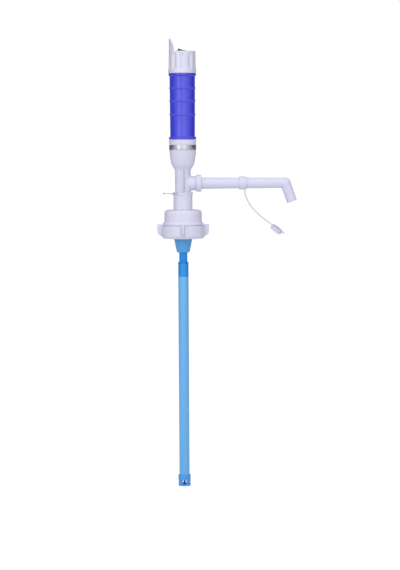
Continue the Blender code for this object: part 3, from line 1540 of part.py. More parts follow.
def build_spout():
    """A tapering tube that turns down at a tight knuckle, with its bore all through."""
    white = plastic("spout_white", WHITE, 0.35)
    corner = Vector((SPOUT_BEND_REACH, 0, SPOUT_LEVEL))
    start = Vector((spout_start, 0, SPOUT_LEVEL))
    run = SPOUT_BEND_REACH - spout_start
    down = nozzle_direction()
    spout = cone(
        "spout", SPOUT_ROOT_RADIUS, SPOUT_BEND_RADIUS, run, SIDES_SMALL, start, (1, 0, 0), white
    )
    knuckle_radius = SPOUT_BEND_RADIUS + SPOUT_KNUCKLE_PROUD
    fuse(spout, ball("knuckle", knuckle_radius, SIDES_SMALL, corner))
    nozzle = cone(
        "nozzle", SPOUT_BEND_RADIUS, SPOUT_MOUTH_RADIUS, NOZZLE_LENGTH, SIDES_SMALL, corner, down
    )
    fuse(spout, nozzle)
    flange = cone(
        "spout_flange", SPOUT_FLANGE_RADIUS, SPOUT_FLANGE_RADIUS, SPOUT_FLANGE_THICKNESS,
        SIDES_SMALL, start, (1, 0, 0),
    )
    fuse(spout, flange)
    bend_bore = SPOUT_BEND_RADIUS - SPOUT_WALL
    straight_bore = cone(
        "spout_bore", SPOUT_ROOT_RADIUS - SPOUT_WALL, bend_bore, run + OVERRUN, SIDES_SMALL,
        start - Vector((OVERRUN, 0, 0)), (1, 0, 0),
    )
    cut(spout, straight_bore)
    cut(spout, ball("knuckle_bore", bend_bore + SPOUT_KNUCKLE_PROUD, SIDES_SMALL, corner))
    nozzle_bore = cone(
        "nozzle_bore", bend_bore, SPOUT_MOUTH_RADIUS - SPOUT_WALL, NOZZLE_LENGTH + OVERRUN,
        SIDES_SMALL, corner, down,
    )
    return cut(spout, nozzle_bore)


def tether_lug_foot():
    return SPOUT_LEVEL - TETHER_RING_RADIUS - TETHER_LUG_DROP


def build_tether_ring():
    """The loose ring on the spout that the cap's strap hangs from."""
    bore = spout_radius(TETHER_RING_START) + SEAT_GAP
    main = TETHER_RING_LENGTH - TETHER_SHOULDER_LENGTH
    edge = (TETHER_RING_RADIUS - bore) / 3
    profile = [
        (bore, TETHER_RING_LENGTH),
        (TETHER_SHOULDER_RADIUS, TETHER_RING_LENGTH),
        (TETHER_SHOULDER_RADIUS, main),
        (TETHER_RING_RADIUS - edge, main),
        (TETHER_RING_RADIUS, main - edge),
        (TETHER_RING_RADIUS, edge),
        (TETHER_RING_RADIUS - edge, 0),
        (bore, 0),
    ]
    ring = turned("tether_ring", profile, SIDES_SMALL, plastic("tether_white", WHITE, 0.35))
    along_x(ring, TETHER_RING_START)
    lug_height = TETHER_LUG_DROP + (TETHER_RING_RADIUS - bore) / 2
    lug = block(
        "tether_lug", (TETHER_LUG_SIZE, TETHER_LUG_SIZE, lug_height),
        (tether_lug_reach, 0, tether_lug_foot() + lug_height / 2),
    )
    return fuse(ring, lug)


def nozzle_cap_point(along, up):
    """A place on the hanging cap, from its own axis and the underside of its plate."""
    right = Vector((math.cos(NOZZLE_CAP_TILT), 0, -math.sin(NOZZLE_CAP_TILT)))
    out = Vector((math.sin(NOZZLE_CAP_TILT), 0, math.cos(NOZZLE_CAP_TILT)))
    base = Vector((NOZZLE_CAP_REACH, 0, NOZZLE_CAP_LEVEL))
    return base + right * along + out * up


def build_nozzle_cap():
    """The dust cap: a short cup under a domed plate with a thumb tab and a strap lug."""
    bore = SPOUT_MOUTH_RADIUS + NOZZLE_CAP_GAP
    outer = bore + NOZZLE_CAP_WALL
    profile = [(0, NOZZLE_PLATE_THICKNESS + NOZZLE_DOME_RISE)]
    for radius_share, rise_share in NOZZLE_DOME_SHARES:
        height = NOZZLE_PLATE_THICKNESS + NOZZLE_DOME_RISE * rise_share
        profile.append((NOZZLE_DOME_RADIUS * radius_share, height))
    profile += [
        (NOZZLE_PLATE_RADIUS, NOZZLE_PLATE_THICKNESS),
        (NOZZLE_PLATE_RADIUS, 0),
        (outer, 0),
        (outer, -NOZZLE_CAP_DEPTH),
        (bore, -NOZZLE_CAP_DEPTH),
        (bore, 0),
        (0, 0),
    ]
    white = plastic("nozzle_cap_white", WHITE, 0.35)
    cap = turned("nozzle_cap", profile, SIDES_SMALL, white, closed=False)
    tilt = (0, NOZZLE_CAP_TILT, 0)
    cap.rotation_euler = tilt
    cap.location = nozzle_cap_point(0, 0)
    tab_start = NOZZLE_PLATE_RADIUS - NOZZLE_CAP_WALL
    tab_middle = (tab_start + THUMB_TAB_REACH) / 2
    tab = block(
        "thumb_tab",
        (THUMB_TAB_REACH - tab_start, THUMB_TAB_WIDTH, NOZZLE_PLATE_THICKNESS - SEAT_GAP),
        nozzle_cap_point(tab_middle, NOZZLE_PLATE_THICKNESS / 2),
    )
    tab.rotation_euler = tilt
    fuse(cap, tab)
    lug_start = NOZZLE_PLATE_RADIUS - NOZZLE_CAP_WALL
    lug = block(
        "strap_lug",
        (STRAP_LUG_REACH - lug_start, STRAP_LUG_WIDTH, STRAP_LUG_THICKNESS),
        nozzle_cap_point(-(lug_start + STRAP_LUG_REACH) / 2, NOZZLE_PLATE_THICKNESS / 2),
    )
    lug.rotation_euler = tilt
    return fuse(cap, lug)


def smooth_route(points, step):
    """Evenly spaced points along a Catmull-Rom curve through the given points."""
    fine = []
    padded = [points[0] * 2 - points[1]] + points + [points[-1] * 2 - points[-2]]
    for index in range(1, len(padded) - 2):
        before, here, after, beyond = padded[index - 1 : index + 3]
        for piece in range(STRAP_PIECES):
            t = piece / STRAP_PIECES
            fine.append(
                0.5 * (
                    2 * here
                    + (after - before) * t
                    + (2 * before - 5 * here + 4 * after - beyond) * t ** 2
                    + (3 * here - before - 3 * after + beyond) * t ** 3
                )
            )
    fine.append(points[-1])
    lengths = [0.0]
    for first, second in zip(fine, fine[1:]):
        lengths.append(lengths[-1] + (second - first).length)
    count = round(lengths[-1] / step)
    spaced = []
    index = 0
    for mark in range(count + 1):
        target = lengths[-1] * mark / count
        while index < len(fine) - 2 and lengths[index + 1] < target:
            index += 1
        share = (target - lengths[index]) / (lengths[index + 1] - lengths[index])
        spaced.append(fine[index].lerp(fine[index + 1], share))
    return spaced, lengths[-1]


def build_strap():
    """The cap's strap: straight down from the ring's lug, then out to the cap's lug."""
    exit_point = Vector((tether_lug_reach, 0, tether_lug_foot() - SEAT_GAP))
    end_point = nozzle_cap_point(-STRAP_LUG_REACH - SEAT_GAP, NOZZLE_PLATE_THICKNESS / 2)
    across = end_point.x - exit_point.x
    fall = end_point.z - exit_point.z
    route = [exit_point]
    for across_share, fall_share in STRAP_SHARES:
        route.append(exit_point + Vector((across * across_share, 0, fall * fall_share)))
    route.append(end_point)
    points, length = smooth_route(route, STRAP_STEP)
    print("tether_strap length %.4f m, exit %s" % (length, tuple(round(v, 5) for v in exit_point)))
    print("tether_strap end %s" % (tuple(round(v, 5) for v in end_point),))
    white = plastic("strap_white", GREY_WHITE, 0.5)
    return tube_along("tether_strap", points, STRAP_RADIUS, 2, white)


def build_socket():
    """The tube socket: a spigot up in the body's tail, a collar, a cone and a neck."""
    spigot_radius = SOCKET_BORE - SEAT_GAP
    spigot_top = socket_top + SOCKET_BORE_DEPTH - SEAT_GAP
    seal_level = tail_foot + SOCKET_BORE_DEPTH / 2
    seal_half = SPIGOT_SEAL_WIDTH / 2 + SEAT_GAP
    seal_groove = spigot_radius - SPIGOT_SEAL_GROOVE
    neck_top = shoulder_level - SOCKET_SHOULDER_HEIGHT
    neck_bore = SOCKET_NECK_RADIUS - SOCKET_NECK_WALL
    bore = SOCKET_CONE_RADIUS - SOCKET_WALL
    plug_foot = neck_foot - SOCKET_PLUG_LENGTH
    profile = [
        (bore, spigot_top),
        (spigot_radius, spigot_top),
        (spigot_radius, seal_level + seal_half),
        (seal_groove, seal_level + seal_half),
        (seal_groove, seal_level - seal_half),
        (spigot_radius, seal_level - seal_half),
        (spigot_radius, socket_top),
        (SOCKET_COLLAR_RADIUS, socket_top),
        (SOCKET_COLLAR_RADIUS, cone_level),
        (SOCKET_CONE_RADIUS, shoulder_level),
        (SOCKET_NECK_RADIUS, neck_top),
        (SOCKET_NECK_RADIUS, plug_foot),
        (neck_bore, plug_foot),
        (neck_bore, neck_top),
        (bore, shoulder_level + SOCKET_SHOULDER_HEIGHT),
    ]
    return turned("tube_socket", profile, SIDES_MEDIUM, plastic("socket_blue", WATER_BLUE, 0.3))


def build_socket_seal():
    seal_level = tail_foot + SOCKET_BORE_DEPTH / 2
    inner = SOCKET_BORE - SEAT_GAP - SPIGOT_SEAL_GROOVE + SEAT_GAP / 2
    outer = SOCKET_BORE - SEAT_GAP / 2
    rubber = plastic("socket_seal_rubber", RUBBER, 0.6)
    seal = seal_ring("socket_seal", inner, outer, SPIGOT_SEAL_WIDTH, SIDES_MEDIUM, rubber)
    seal.location = (0, 0, seal_level)
    return seal


def build_tube():
    """The dip tube and the ring that stands on its upper end."""
    blue = plastic("tube_blue", WATER_BLUE, 0.25)
    tube = ring_piece("dip_tube", TUBE_BORE, TUBE_RADIUS, TUBE_LENGTH, SIDES_SMALL, blue)
    tube.location = (0, 0, tube_foot)
    ring = ring_piece(
        "tube_ring", SOCKET_NECK_RADIUS + SEAT_GAP, TUBE_RING_RADIUS,
        TUBE_RING_HEIGHT - SEAT_GAP, SIDES_SMALL, plastic("tube_ring_blue", WATER_BLUE, 0.3),
    )
    ring.location = (0, 0, tube_ring_level)
    return [tube, ring]


def build_bush(name, share):
    """A shaft guide: a hub on three arms inside a rim, open for the water between them."""
    white = plastic(name + "_white", WHITE, 0.5)
    outer = TUBE_BORE - SEAT_GAP
    inner = outer - BUSH_RIM_WALL
    level = tube_top - TUBE_LENGTH * share - BUSH_HEIGHT / 2
    bush = ring_piece(name, inner, outer, BUSH_HEIGHT, SIDES_SMALL, white)
    bush.location = (0, 0, level)
    hub = ring_piece(
        name + "_hub", SHAFT_RADIUS + RUN_GAP, BUSH_HUB_RADIUS, BUSH_HEIGHT - 2 * SEAT_GAP,
        SIDES_FINE, white,
    )
    hub.location = (0, 0, level + SEAT_GAP)
    arm_start = (SHAFT_RADIUS + RUN_GAP + BUSH_HUB_RADIUS) / 2
    arm_end = inner + BUSH_RIM_WALL / 2
    for index in range(BUSH_ARM_COUNT):
        angle = math.tau * index / BUSH_ARM_COUNT
        reach = (arm_start + arm_end) / 2
        arm = block(
            "%s_arm_%d" % (name, index + 1),
            (arm_end - arm_start, BUSH_ARM_WIDTH, BUSH_HEIGHT - 4 * SEAT_GAP),
            (reach * math.cos(angle), reach * math.sin(angle), level + BUSH_HEIGHT / 2),
        )
        arm.rotation_euler = (0, 0, angle)
        fuse(bush, arm)
    return fuse(bush, hub)


def build_foot():
    """The strainer: a windowed cup on the tube's foot, with the shaft's end bearing."""
    collar_bore = TUBE_RADIUS + SEAT_GAP
    shelf = FOOT_HEIGHT - FOOT_COLLAR_DEPTH
    profile = [
        (collar_bore, FOOT_HEIGHT),
        (FOOT_RADIUS, FOOT_HEIGHT),
        (FOOT_RADIUS, FOOT_EDGE),
        (FOOT_RADIUS - FOOT_EDGE, 0),
        (SHAFT_RADIUS + RUN_GAP, 0),
        (SHAFT_RADIUS + RUN_GAP, FOOT_FLOOR),
        (FOOT_CHAMBER_RADIUS, FOOT_FLOOR),
        (FOOT_CHAMBER_RADIUS, shelf),
        (collar_bore, shelf),
    ]
    foot = turned("strainer_foot", profile, SIDES_SMALL, plastic("foot_blue", WATER_BLUE, 0.3))
    foot.location = (0, 0, foot_level)
    wall = FOOT_RADIUS - FOOT_CHAMBER_RADIUS
    for index in range(FOOT_WINDOW_COUNT):
        angle = math.tau * index / FOOT_WINDOW_COUNT
        reach = FOOT_CHAMBER_RADIUS + wall / 2
        window = block(
            "foot_window_%d" % (index + 1),
            (wall + OVERRUN, FOOT_WINDOW_WIDTH, FOOT_WINDOW_HEIGHT),
            (
                reach * math.cos(angle),
                reach * math.sin(angle),
                foot_level + FOOT_FLOOR + FOOT_EDGE + FOOT_WINDOW_HEIGHT / 2,
            ),
        )
        window.rotation_euler = (0, 0, angle)
        cut(foot, window)
    return foot


def assemble():
    """Builds every piece and hangs the moving ones on the pivots of their joints."""
    build_gasket()
    build_sleeve()
    build_dome()
    carry(build_clip(), pivot("clip_slide", (0, 0, CLIP_LEVEL)))

    collet = pivot("collet_slide", (0, 0, collet_foot))
    carry(build_collet(), collet)
    carry(build_wing_ring(), pivot("wing_ring_axis", (0, 0, ring_foot), collet))

    head = pivot("head_axis", (0, 0, SLEEVE_TOP))
    for piece in (build_pump_body(), build_head_seal(), build_band(), build_barrel()):
        carry(piece, head)
    for piece in (build_grip(), build_strip(), build_spring_plate(), build_spring()):
        carry(piece, head)
    carry(build_cell("lower_cell", lower_cell_level), head)
    carry(build_cell("upper_cell", upper_cell_level), head)
    carry(build_cap_seal(), head)
    for piece in build_motor() + build_shaft_seal():
        carry(piece, head)
    for piece in [build_washer(), build_socket(), build_socket_seal()] + build_tube():
        carry(piece, head)
    for number, share in enumerate(BUSH_SHARES):
        carry(build_bush("guide_bush_%d" % (number + 1), share), head)
    carry(build_foot(), head)

    rotor = pivot("rotor_axis", (0, 0, coupling_foot), head)
    for piece in build_drive_line():
        carry(piece, rotor)

    contacts = pivot("contact_slide", (0, 0, disc_level), head)
    for piece in build_contacts():
        carry(piece, contacts)
    cap = pivot("cap_axis", (0, 0, cap_foot), contacts)
    for piece in [build_cap()] + build_switch():
        carry(piece, cap)
    carry(build_rocker(), pivot("rocker_pivot", (-SWITCH_REACH, 0, rocker_level), cap))

    carry(build_nut(), pivot("nut_axis", (nut_start, 0, SPOUT_LEVEL), head))
    spout = pivot("spout_axis", (spout_start, 0, SPOUT_LEVEL), head)
    carry(build_spout(), spout)
    tether = pivot("tether_axis", (TETHER_RING_START, 0, SPOUT_LEVEL), spout)
    for piece in (build_tether_ring(), build_strap(), build_nozzle_cap()):
        carry(piece, tether)


def finish_meshes():
    """Applies each part's modifiers, and shades its round faces smooth."""
    bpy.context.view_layer.update()
    graph = bpy.context.evaluated_depsgraph_get()
    finished = {}
    for piece in PARTS.objects:
        if piece.type == "MESH":
            finished[piece] = bpy.data.meshes.new_from_object(piece.evaluated_get(graph))
    for piece, mesh in finished.items():
        piece.modifiers.clear()
        piece.data = mesh
        mesh.shade_smooth()
        mesh.set_sharp_from_angle(angle=SHARP_ANGLE)


assemble()
finish_meshes()
print("%d parts" % sum(piece.type != "EMPTY" for piece in PARTS.objects))
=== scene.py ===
# %% [markdown]
# # A battery pump for drinking water
#
# The real object is a hand-sized pump that is clamped down by its collar, with a long tube
# hanging below. A blue handle holds two round cells, a white bell under it holds the motor,
# and a long shaft turns a small impeller at the foot of the tube. The water leaves by the
# side spout, which has a dust cap on a strap.
#
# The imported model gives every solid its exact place. This script keeps those places and
# gives each visible piece its fuller form and its finish: rounded edges, smooth flutes,
# fillets, and the surface that moulded plastic, polished metal or soft rubber really has.

# %% Start on the fixed frame
import json
import math

import bpy
from mathutils import Euler, Matrix, Quaternion, Vector


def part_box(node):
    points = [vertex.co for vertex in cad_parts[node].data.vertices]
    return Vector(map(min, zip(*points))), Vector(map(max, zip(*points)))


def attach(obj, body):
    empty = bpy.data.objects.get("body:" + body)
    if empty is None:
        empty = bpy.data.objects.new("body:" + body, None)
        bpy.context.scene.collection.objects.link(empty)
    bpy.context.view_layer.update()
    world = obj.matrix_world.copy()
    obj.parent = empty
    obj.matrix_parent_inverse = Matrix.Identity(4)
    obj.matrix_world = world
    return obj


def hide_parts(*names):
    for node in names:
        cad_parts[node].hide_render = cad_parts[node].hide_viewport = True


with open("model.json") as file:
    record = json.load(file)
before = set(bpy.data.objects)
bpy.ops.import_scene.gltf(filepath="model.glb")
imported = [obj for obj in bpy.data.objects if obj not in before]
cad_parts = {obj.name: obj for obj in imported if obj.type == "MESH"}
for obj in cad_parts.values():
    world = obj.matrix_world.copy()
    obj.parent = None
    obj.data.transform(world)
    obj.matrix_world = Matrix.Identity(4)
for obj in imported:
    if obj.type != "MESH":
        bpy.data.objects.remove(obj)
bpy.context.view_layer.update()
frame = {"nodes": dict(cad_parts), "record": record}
record = frame["record"]

# %% [markdown]
# ## The camera
#
# The photograph was taken from far away with a long lens: the rings round the handle look
# almost straight, and the eye is level with the top of the motor bell. So the camera stands
# 3.4 metres off with a long focal length, and looks a little down. A small roll matches the
# pump's lean in the picture. Nothing is shifted, so other views frame well too.

# %% The camera at the photograph's place
CAMERA_DISTANCE = 3.4
CAMERA_ACROSS = 0.0282
CAMERA_HEIGHT = 0.129
CAMERA_DOWN = math.radians(4.233)
CAMERA_ROLL = math.radians(-0.30)
SENSOR_WIDTH = 36
FOCAL_IN_PIXELS = 2000
PHOTO_HEIGHT = 570
FARTHEST_SEEN = 50

camera = bpy.data.objects.new("photo_camera", bpy.data.cameras.new("photo_camera"))
bpy.context.scene.collection.objects.link(camera)
bpy.context.scene.camera = camera
camera.data.sensor_fit = "AUTO"
camera.data.sensor_width = SENSOR_WIDTH
camera.data.lens = SENSOR_WIDTH * FOCAL_IN_PIXELS / PHOTO_HEIGHT
camera.data.clip_end = FARTHEST_SEEN
camera.location = (CAMERA_ACROSS, -CAMERA_DISTANCE, CAMERA_HEIGHT)
look = Euler((math.pi / 2 - CAMERA_DOWN, 0, 0)).to_quaternion()
camera.rotation_mode = "QUATERNION"
camera.rotation_quaternion = look @ Quaternion((0, 0, 1), CAMERA_ROLL)
print("camera: %.1f mm lens at %.1f m" % (camera.data.lens, CAMERA_DISTANCE))

# %% [markdown]
# ## The strap of the dust cap
#
# On the real pump the strap is a thin, soft plastic string, moulded in one shot with the
# cap. It is made first because it is the only piece with a route of its own. It leaves the
# lug under the ring, falls almost straight, and then swings out in a lazy curve because the
# plastic is a little stiff. The route repeats the solid's own points, except that its last
# third hangs up to 1.7 mm lower, where it meets the lug of the dust cap. A smooth curve
# through them, with a round section, is the natural way to make a string.

# %% The strap's route and its curve
STRAP_DIAMETER = 0.0023
STRAP_ROUTE = [
    (0.10499, 0, 0.03770),
    (0.10530, 0, 0.03266),
    (0.10694, 0, 0.02789),
    (0.10883, 0, 0.02320),
    (0.11110, 0, 0.01869),
    (0.11362, 0, 0.01431),
    (0.11654, 0, 0.01018),
    (0.11980, 0, 0.00632),
    (0.12325, 0, 0.00263),
    (0.12691, 0, -0.00085),
    (0.13070, 0, -0.00445),
    (0.13465, 0, -0.00785),
    (0.13873, 0, -0.01110),
    (0.14290, 0, -0.01420),
    (0.14700, 0, -0.01725),
    (0.15110, 0, -0.02010),
]
STRAP_STEPS = 4


def flowing(points, steps):
    """Points on a smooth curve that passes through all the given points."""
    points = [Vector(point) for point in points]
    padded = [points[0] * 2 - points[1]] + points + [points[-1] * 2 - points[-2]]
    fine = []
    for index in range(1, len(padded) - 2):
        before, here, after, beyond = padded[index - 1:index + 3]
        for step in range(steps):
            t = step / steps
            fine.append(0.5 * (
                2 * here
                + (after - before) * t
                + (2 * before - 5 * here + 4 * after - beyond) * t ** 2
                + (3 * here - before - 3 * after + beyond) * t ** 3
            ))
    fine.append(points[-1])
    return fine


strap_curve = bpy.data.curves.new("cap_strap", "CURVE")
strap_curve.dimensions = "3D"
strap_curve.bevel_depth = STRAP_DIAMETER / 2
strap_curve.bevel_resolution = 5
strap_curve.use_fill_caps = True
strap_points = flowing(STRAP_ROUTE, STRAP_STEPS)
strap_line = strap_curve.splines.new("POLY")
strap_line.points.add(len(strap_points) - 1)
for spot, place in zip(strap_line.points, strap_points):
    spot.co = (*place, 1)
cap_strap = bpy.data.objects.new("cap_strap", strap_curve)
bpy.context.scene.collection.objects.link(cap_strap)
strap_run = sum((b - a).length for a, b in zip(strap_points, strap_points[1:]))
print("strap: %d points, %.1f mm along its line" % (len(strap_points), strap_run * 1000))

# %% [markdown]
# ## Drawing tools
#
# Nearly every piece of the pump is turned or moulded round an axis, so most of them start
# as a lathe profile. The sizes below are in millimetres, as on a workshop drawing. Each
# corner of a profile carries its own roundness, because no moulded edge is truly sharp:
# the rounding is what catches the light along every rim.

# %% Profiles with rounded corners
MM = 0.001
FINE = 128
MEDIUM = 96
SMALL = 64
PIN_SIDES = 24
ON_AXIS = 1e-6
CORNER_SHARE = 0.48


def softened(corners, steps=4):
    """Rounds the corners of a closed outline of (across, up, roundness)."""
    points = []
    for index, (across, up, roundness) in enumerate(corners):
        here = Vector((across, up))
        if roundness <= 0:
            points.append((across, up))
            continue
        back = Vector(corners[index - 1][:2]) - here
        ahead = Vector(corners[(index + 1) % len(corners)][:2]) - here
        reach = min(roundness, back.length * CORNER_SHARE, ahead.length * CORNER_SHARE)
        start = here + back.normalized() * reach
        end = here + ahead.normalized() * reach
        for step in range(steps + 1):
            share = step / steps
            spot = start.lerp(here, share).lerp(here.lerp(end, share), share)
            points.append((spot.x, spot.y))
    return points


square = softened([(0, 0, 1), (4, 0, 1), (4, 4, 1), (0, 4, 1)])
print("a square with four rounded corners has %d points" % len(square))

# %% [markdown]
# A lathe turns such a profile about the Z axis. Blender has a Screw modifier for it, but a
# loop of one's own can also change the radius with the angle, and the flutes of the cap
# need that. Points on the axis become one point, so the caps of a solid close cleanly.

# %% The lathe
def mesh_piece(name, vertices, faces):
    """A new mesh object from points in millimetres."""
    mesh = bpy.data.meshes.new(name)
    mesh.from_pydata([Vector(point) * MM for point in vertices], [], faces)
    mesh.validate()
    piece = bpy.data.objects.new(name, mesh)
    bpy.context.scene.collection.objects.link(piece)
    return piece


def lathe(name, profile, sides=MEDIUM, wave=None):
    """Turns a closed profile of (radius, height) about the Z axis.

    The profile runs down its outer side. wave(angle, radius, height) may change a radius.
    """
    vertices = []
    rows = []
    for radius, height in profile:
        if radius < ON_AXIS:
            rows.append([len(vertices)] * sides)
            vertices.append((0, 0, height))
            continue
        rows.append(list(range(len(vertices), len(vertices) + sides)))
        for side in range(sides):
            angle = math.tau * side / sides
            reach = wave(angle, radius, height) if wave else radius
            vertices.append((reach * math.cos(angle), reach * math.sin(angle), height))
    faces = []
    for row, below in zip(rows, rows[1:] + rows[:1]):
        for side in range(sides):
            after = (side + 1) % sides
            corners = (row[side], below[side], below[after], row[after])
            face = list(dict.fromkeys(corners))
            if len(face) > 2:
                faces.append(face)
    return mesh_piece(name, vertices, faces)


print("the lathe turns with %d, %d or %d sides" % (SMALL, MEDIUM, FINE))

# %% [markdown]
# Straight ribs, wings, tabs and switches are slabs: an outline with a thickness, and edges
# rounded by a bevel. The bevel is a modifier that is applied at once, so that later steps
# cut the rounded form. Every mesh is moved in its own points, and its object stays at the
# origin, where the frame wants it.

# %% Slabs, and moving a mesh
def settle(piece):
    """Applies an object's modifiers to its mesh."""
    bpy.context.view_layer.update()
    graph = bpy.context.evaluated_depsgraph_get()
    mesh = bpy.data.meshes.new_from_object(piece.evaluated_get(graph))
    piece.modifiers.clear()
    piece.data = mesh
    return piece


def bevelled(piece, edge, segments, sharpest):
    """Rounds the edges that are sharper than an angle in degrees."""
    bevel = piece.modifiers.new("Rounding", "BEVEL")
    bevel.width = edge * MM
    bevel.segments = segments
    bevel.limit_method = "ANGLE"
    bevel.angle_limit = math.radians(sharpest)
    return settle(piece)


def slab(name, outline, thickness, edge, segments=3):
    """An outline in the XZ plane, thick along Y, with rounded edges."""
    half = thickness / 2
    count = len(outline)
    vertices = [(x, -half, z) for x, z in outline] + [(x, half, z) for x, z in outline]
    faces = [list(range(count)), list(range(2 * count - 1, count - 1, -1))]
    for index in range(count):
        after = (index + 1) % count
        faces.append([after, index, index + count, after + count])
    piece = mesh_piece(name, vertices, faces)
    return bevelled(piece, edge, segments, 50) if edge > 0 else piece


def moved(piece, matrix):
    """Moves the mesh itself, so that every object stays at the origin of the frame."""
    piece.data.transform(matrix)
    return piece


def box(name, low, high, edge=0):
    """A block between two corners, with rounded edges where edge is above zero."""
    outline = [(low[0], low[2]), (high[0], low[2]), (high[0], high[2]), (low[0], high[2])]
    piece = slab(name, outline, high[1] - low[1], edge)
    return moved(piece, Matrix.Translation(Vector((0, (low[1] + high[1]) / 2, 0)) * MM))


def aimed(piece, start, direction):
    """Turns a piece made along +Z to run along a direction from a point, in millimetres."""
    turn = Vector(direction).to_track_quat("Z", "Y").to_matrix().to_4x4()
    return moved(piece, Matrix.Translation(Vector(start) * MM) @ turn)


def quarter_turns(piece, index):
    """Turns a mesh about the axis by a number of quarter turns."""
    return moved(piece, Matrix.Rotation(math.tau * index / 4, 4, "Z"))


print("slabs and boxes are ready, in units of %.3f m" % MM)

# %% [markdown]
# Pieces that are moulded as one are joined by Booleans, which leave one clean skin, and a
# bore is taken out in the same way. A surface that only lies on another, such as a fillet
# strip, joins the mesh without a Boolean. Every finished piece is shaded smooth except
# across real edges.

# %% Booleans and smooth shading
def boolean(piece, tool, operation):
    """Adds or takes away one mesh, which is used up."""
    step = piece.modifiers.new("Step", "BOOLEAN")
    step.operation = operation
    step.solver = "EXACT"
    step.object = tool
    settle(piece)
    bpy.data.objects.remove(tool, do_unlink=True)
    return piece


def add(piece, tool):
    return boolean(piece, tool, "UNION")


def take(piece, tool):
    return boolean(piece, tool, "DIFFERENCE")


def joined(piece, other):
    """Puts another mesh's faces in the same object, without a Boolean."""
    first = len(piece.data.vertices)
    vertices = [v.co / MM for mesh in (piece.data, other.data) for v in mesh.vertices]
    faces = [list(face.vertices) for face in piece.data.polygons]
    faces += [[index + first for index in face.vertices] for face in other.data.polygons]
    name = piece.name
    for old in (piece, other):
        bpy.data.objects.remove(old, do_unlink=True)
    return mesh_piece(name, vertices, faces)


def smooth(piece, angle=32):
    """Smooth shading, but an edge sharper than the angle stays sharp."""
    piece.data.shade_smooth()
    piece.data.set_sharp_from_angle(angle=math.radians(angle))
    return piece


# %% [markdown]
# ## Shader maths
#
# Each finish is a small formula: noise times an amount, added to a base value. Written out
# node by node, a formula is hard to read, so a thin wrapper lets the sockets be added and
# multiplied like numbers.

# %% A socket that can be calculated with
class Value:
    """One output of a shader node, which takes part in sums."""

    def __init__(self, nodes, socket):
        self.nodes = nodes
        self.socket = socket

    def _math(self, operation, first, second):
        return self.nodes.node("Math", {"operation": operation}, {0: first, 1: second})

    def __add__(self, other):
        return self._math("ADD", self, other)

    def __radd__(self, other):
        return self._math("ADD", other, self)

    def __sub__(self, other):
        return self._math("SUBTRACT", self, other)

    def __rsub__(self, other):
        return self._math("SUBTRACT", other, self)

    def __mul__(self, other):
        return self._math("MULTIPLY", self, other)

    def __rmul__(self, other):
        return self._math("MULTIPLY", other, self)


print("a Value can be added, subtracted and multiplied")

# %% [markdown]
# One method makes every node. It takes the node's type, its settings, the values or links
# of its sockets, and the output that is wanted. A socket is called by its name, or by its
# number where a node has several of one name, as Vector Math and Mix have.

# %% One method for all nodes
COLOUR_FIRST, COLOUR_SECOND, COLOUR_RESULT = 6, 7, 2


class Nodes:
    """A node tree whose nodes are made by one method."""

    def __init__(self, tree):
        self.tree = tree

    def feed(self, socket, value):
        """Links a Value to a socket, or writes a plain number, colour or vector there."""
        if isinstance(value, Value):
            self.tree.links.new(value.socket, socket)
        else:
            socket.default_value = value

    def node(self, kind, settings, sockets, output=0):
        """Makes a node, and gives back one of its outputs."""
        node = self.tree.nodes.new("ShaderNode" + kind)
        for name, value in settings.items():
            setattr(node, name, value)
        for key, value in sockets.items():
            self.feed(node.inputs[key], value)
        return Value(self, node.outputs[output])

    def spot(self):
        """The place on the piece, in metres in the pump's own frame."""
        return self.node("TexCoord", {}, {}, "Object")

    def axis(self, letter):
        """One coordinate of that place: X, Y or Z."""
        return self.node("SeparateXYZ", {}, {"Vector": self.spot()}, letter)

    def between(self, value, low, high):
        """Grows from 0 to 1 as a value goes from low to high."""
        return self.node(
            "MapRange", {}, {"Value": value, "From Min": low, "From Max": high}, "Result"
        )

    def noise(self, scale, detail=2.0, roughness=0.5, stretch=(1, 1, 1)):
        """Soft noise between 0 and 1, with about `scale` lumps to the metre."""
        spot = self.spot()
        if stretch != (1, 1, 1):
            spot = self.node("VectorMath", {"operation": "MULTIPLY"}, {0: spot, 1: stretch})
        return self.node(
            "TexNoise", {},
            {"Vector": spot, "Scale": scale, "Detail": detail, "Roughness": roughness}, "Fac",
        )

    def blend(self, share, first, second):
        """A colour between two others."""
        return self.node(
            "Mix", {"data_type": "RGBA"},
            {"Factor": share, COLOUR_FIRST: first, COLOUR_SECOND: second}, COLOUR_RESULT,
        )

    def bump(self, height, distance, strength):
        """Relief: a height between 0 and 1 that stands `distance` metres deep."""
        sockets = {"Strength": strength, "Distance": distance, "Height": height}
        return self.node("Bump", {}, sockets, "Normal")


print("colours enter a Mix node at sockets %d and %d" % (COLOUR_FIRST, COLOUR_SECOND))

# %% [markdown]
# A finish is one Principled material, because that shader covers plastic, rubber and metal
# alike. Its colours are written as they look on a screen, from 0 to 255, and turned to the
# linear values that a shader works with.

# %% A finish and its colours
class Finish(Nodes):
    """A Principled material."""

    def __init__(self, name):
        self.material = bpy.data.materials.new(name)
        self.material.use_nodes = True
        super().__init__(self.material.node_tree)
        self.shader = self.tree.nodes["Principled BSDF"]

    def done(self, **sockets):
        """Feeds the Principled shader, and gives back the material."""
        for name, value in sockets.items():
            self.feed(self.shader.inputs[name.replace("_", " ")], value)
        return self.material


def rgb(red, green, blue):
    """A colour as seen on a screen, 0 to 255, turned to the linear values of a shader."""
    def linear(value):
        share = value / 255
        return share / 12.92 if share <= 0.04045 else ((share + 0.055) / 1.055) ** 2.4

    return (linear(red), linear(green), linear(blue), 1.0)


def scaled(colour, share):
    """A colour made darker or lighter."""
    return tuple(channel * share for channel in colour[:3]) + (1.0,)


print("half grey on a screen is %.3f to a shader" % rgb(128, 128, 128)[0])

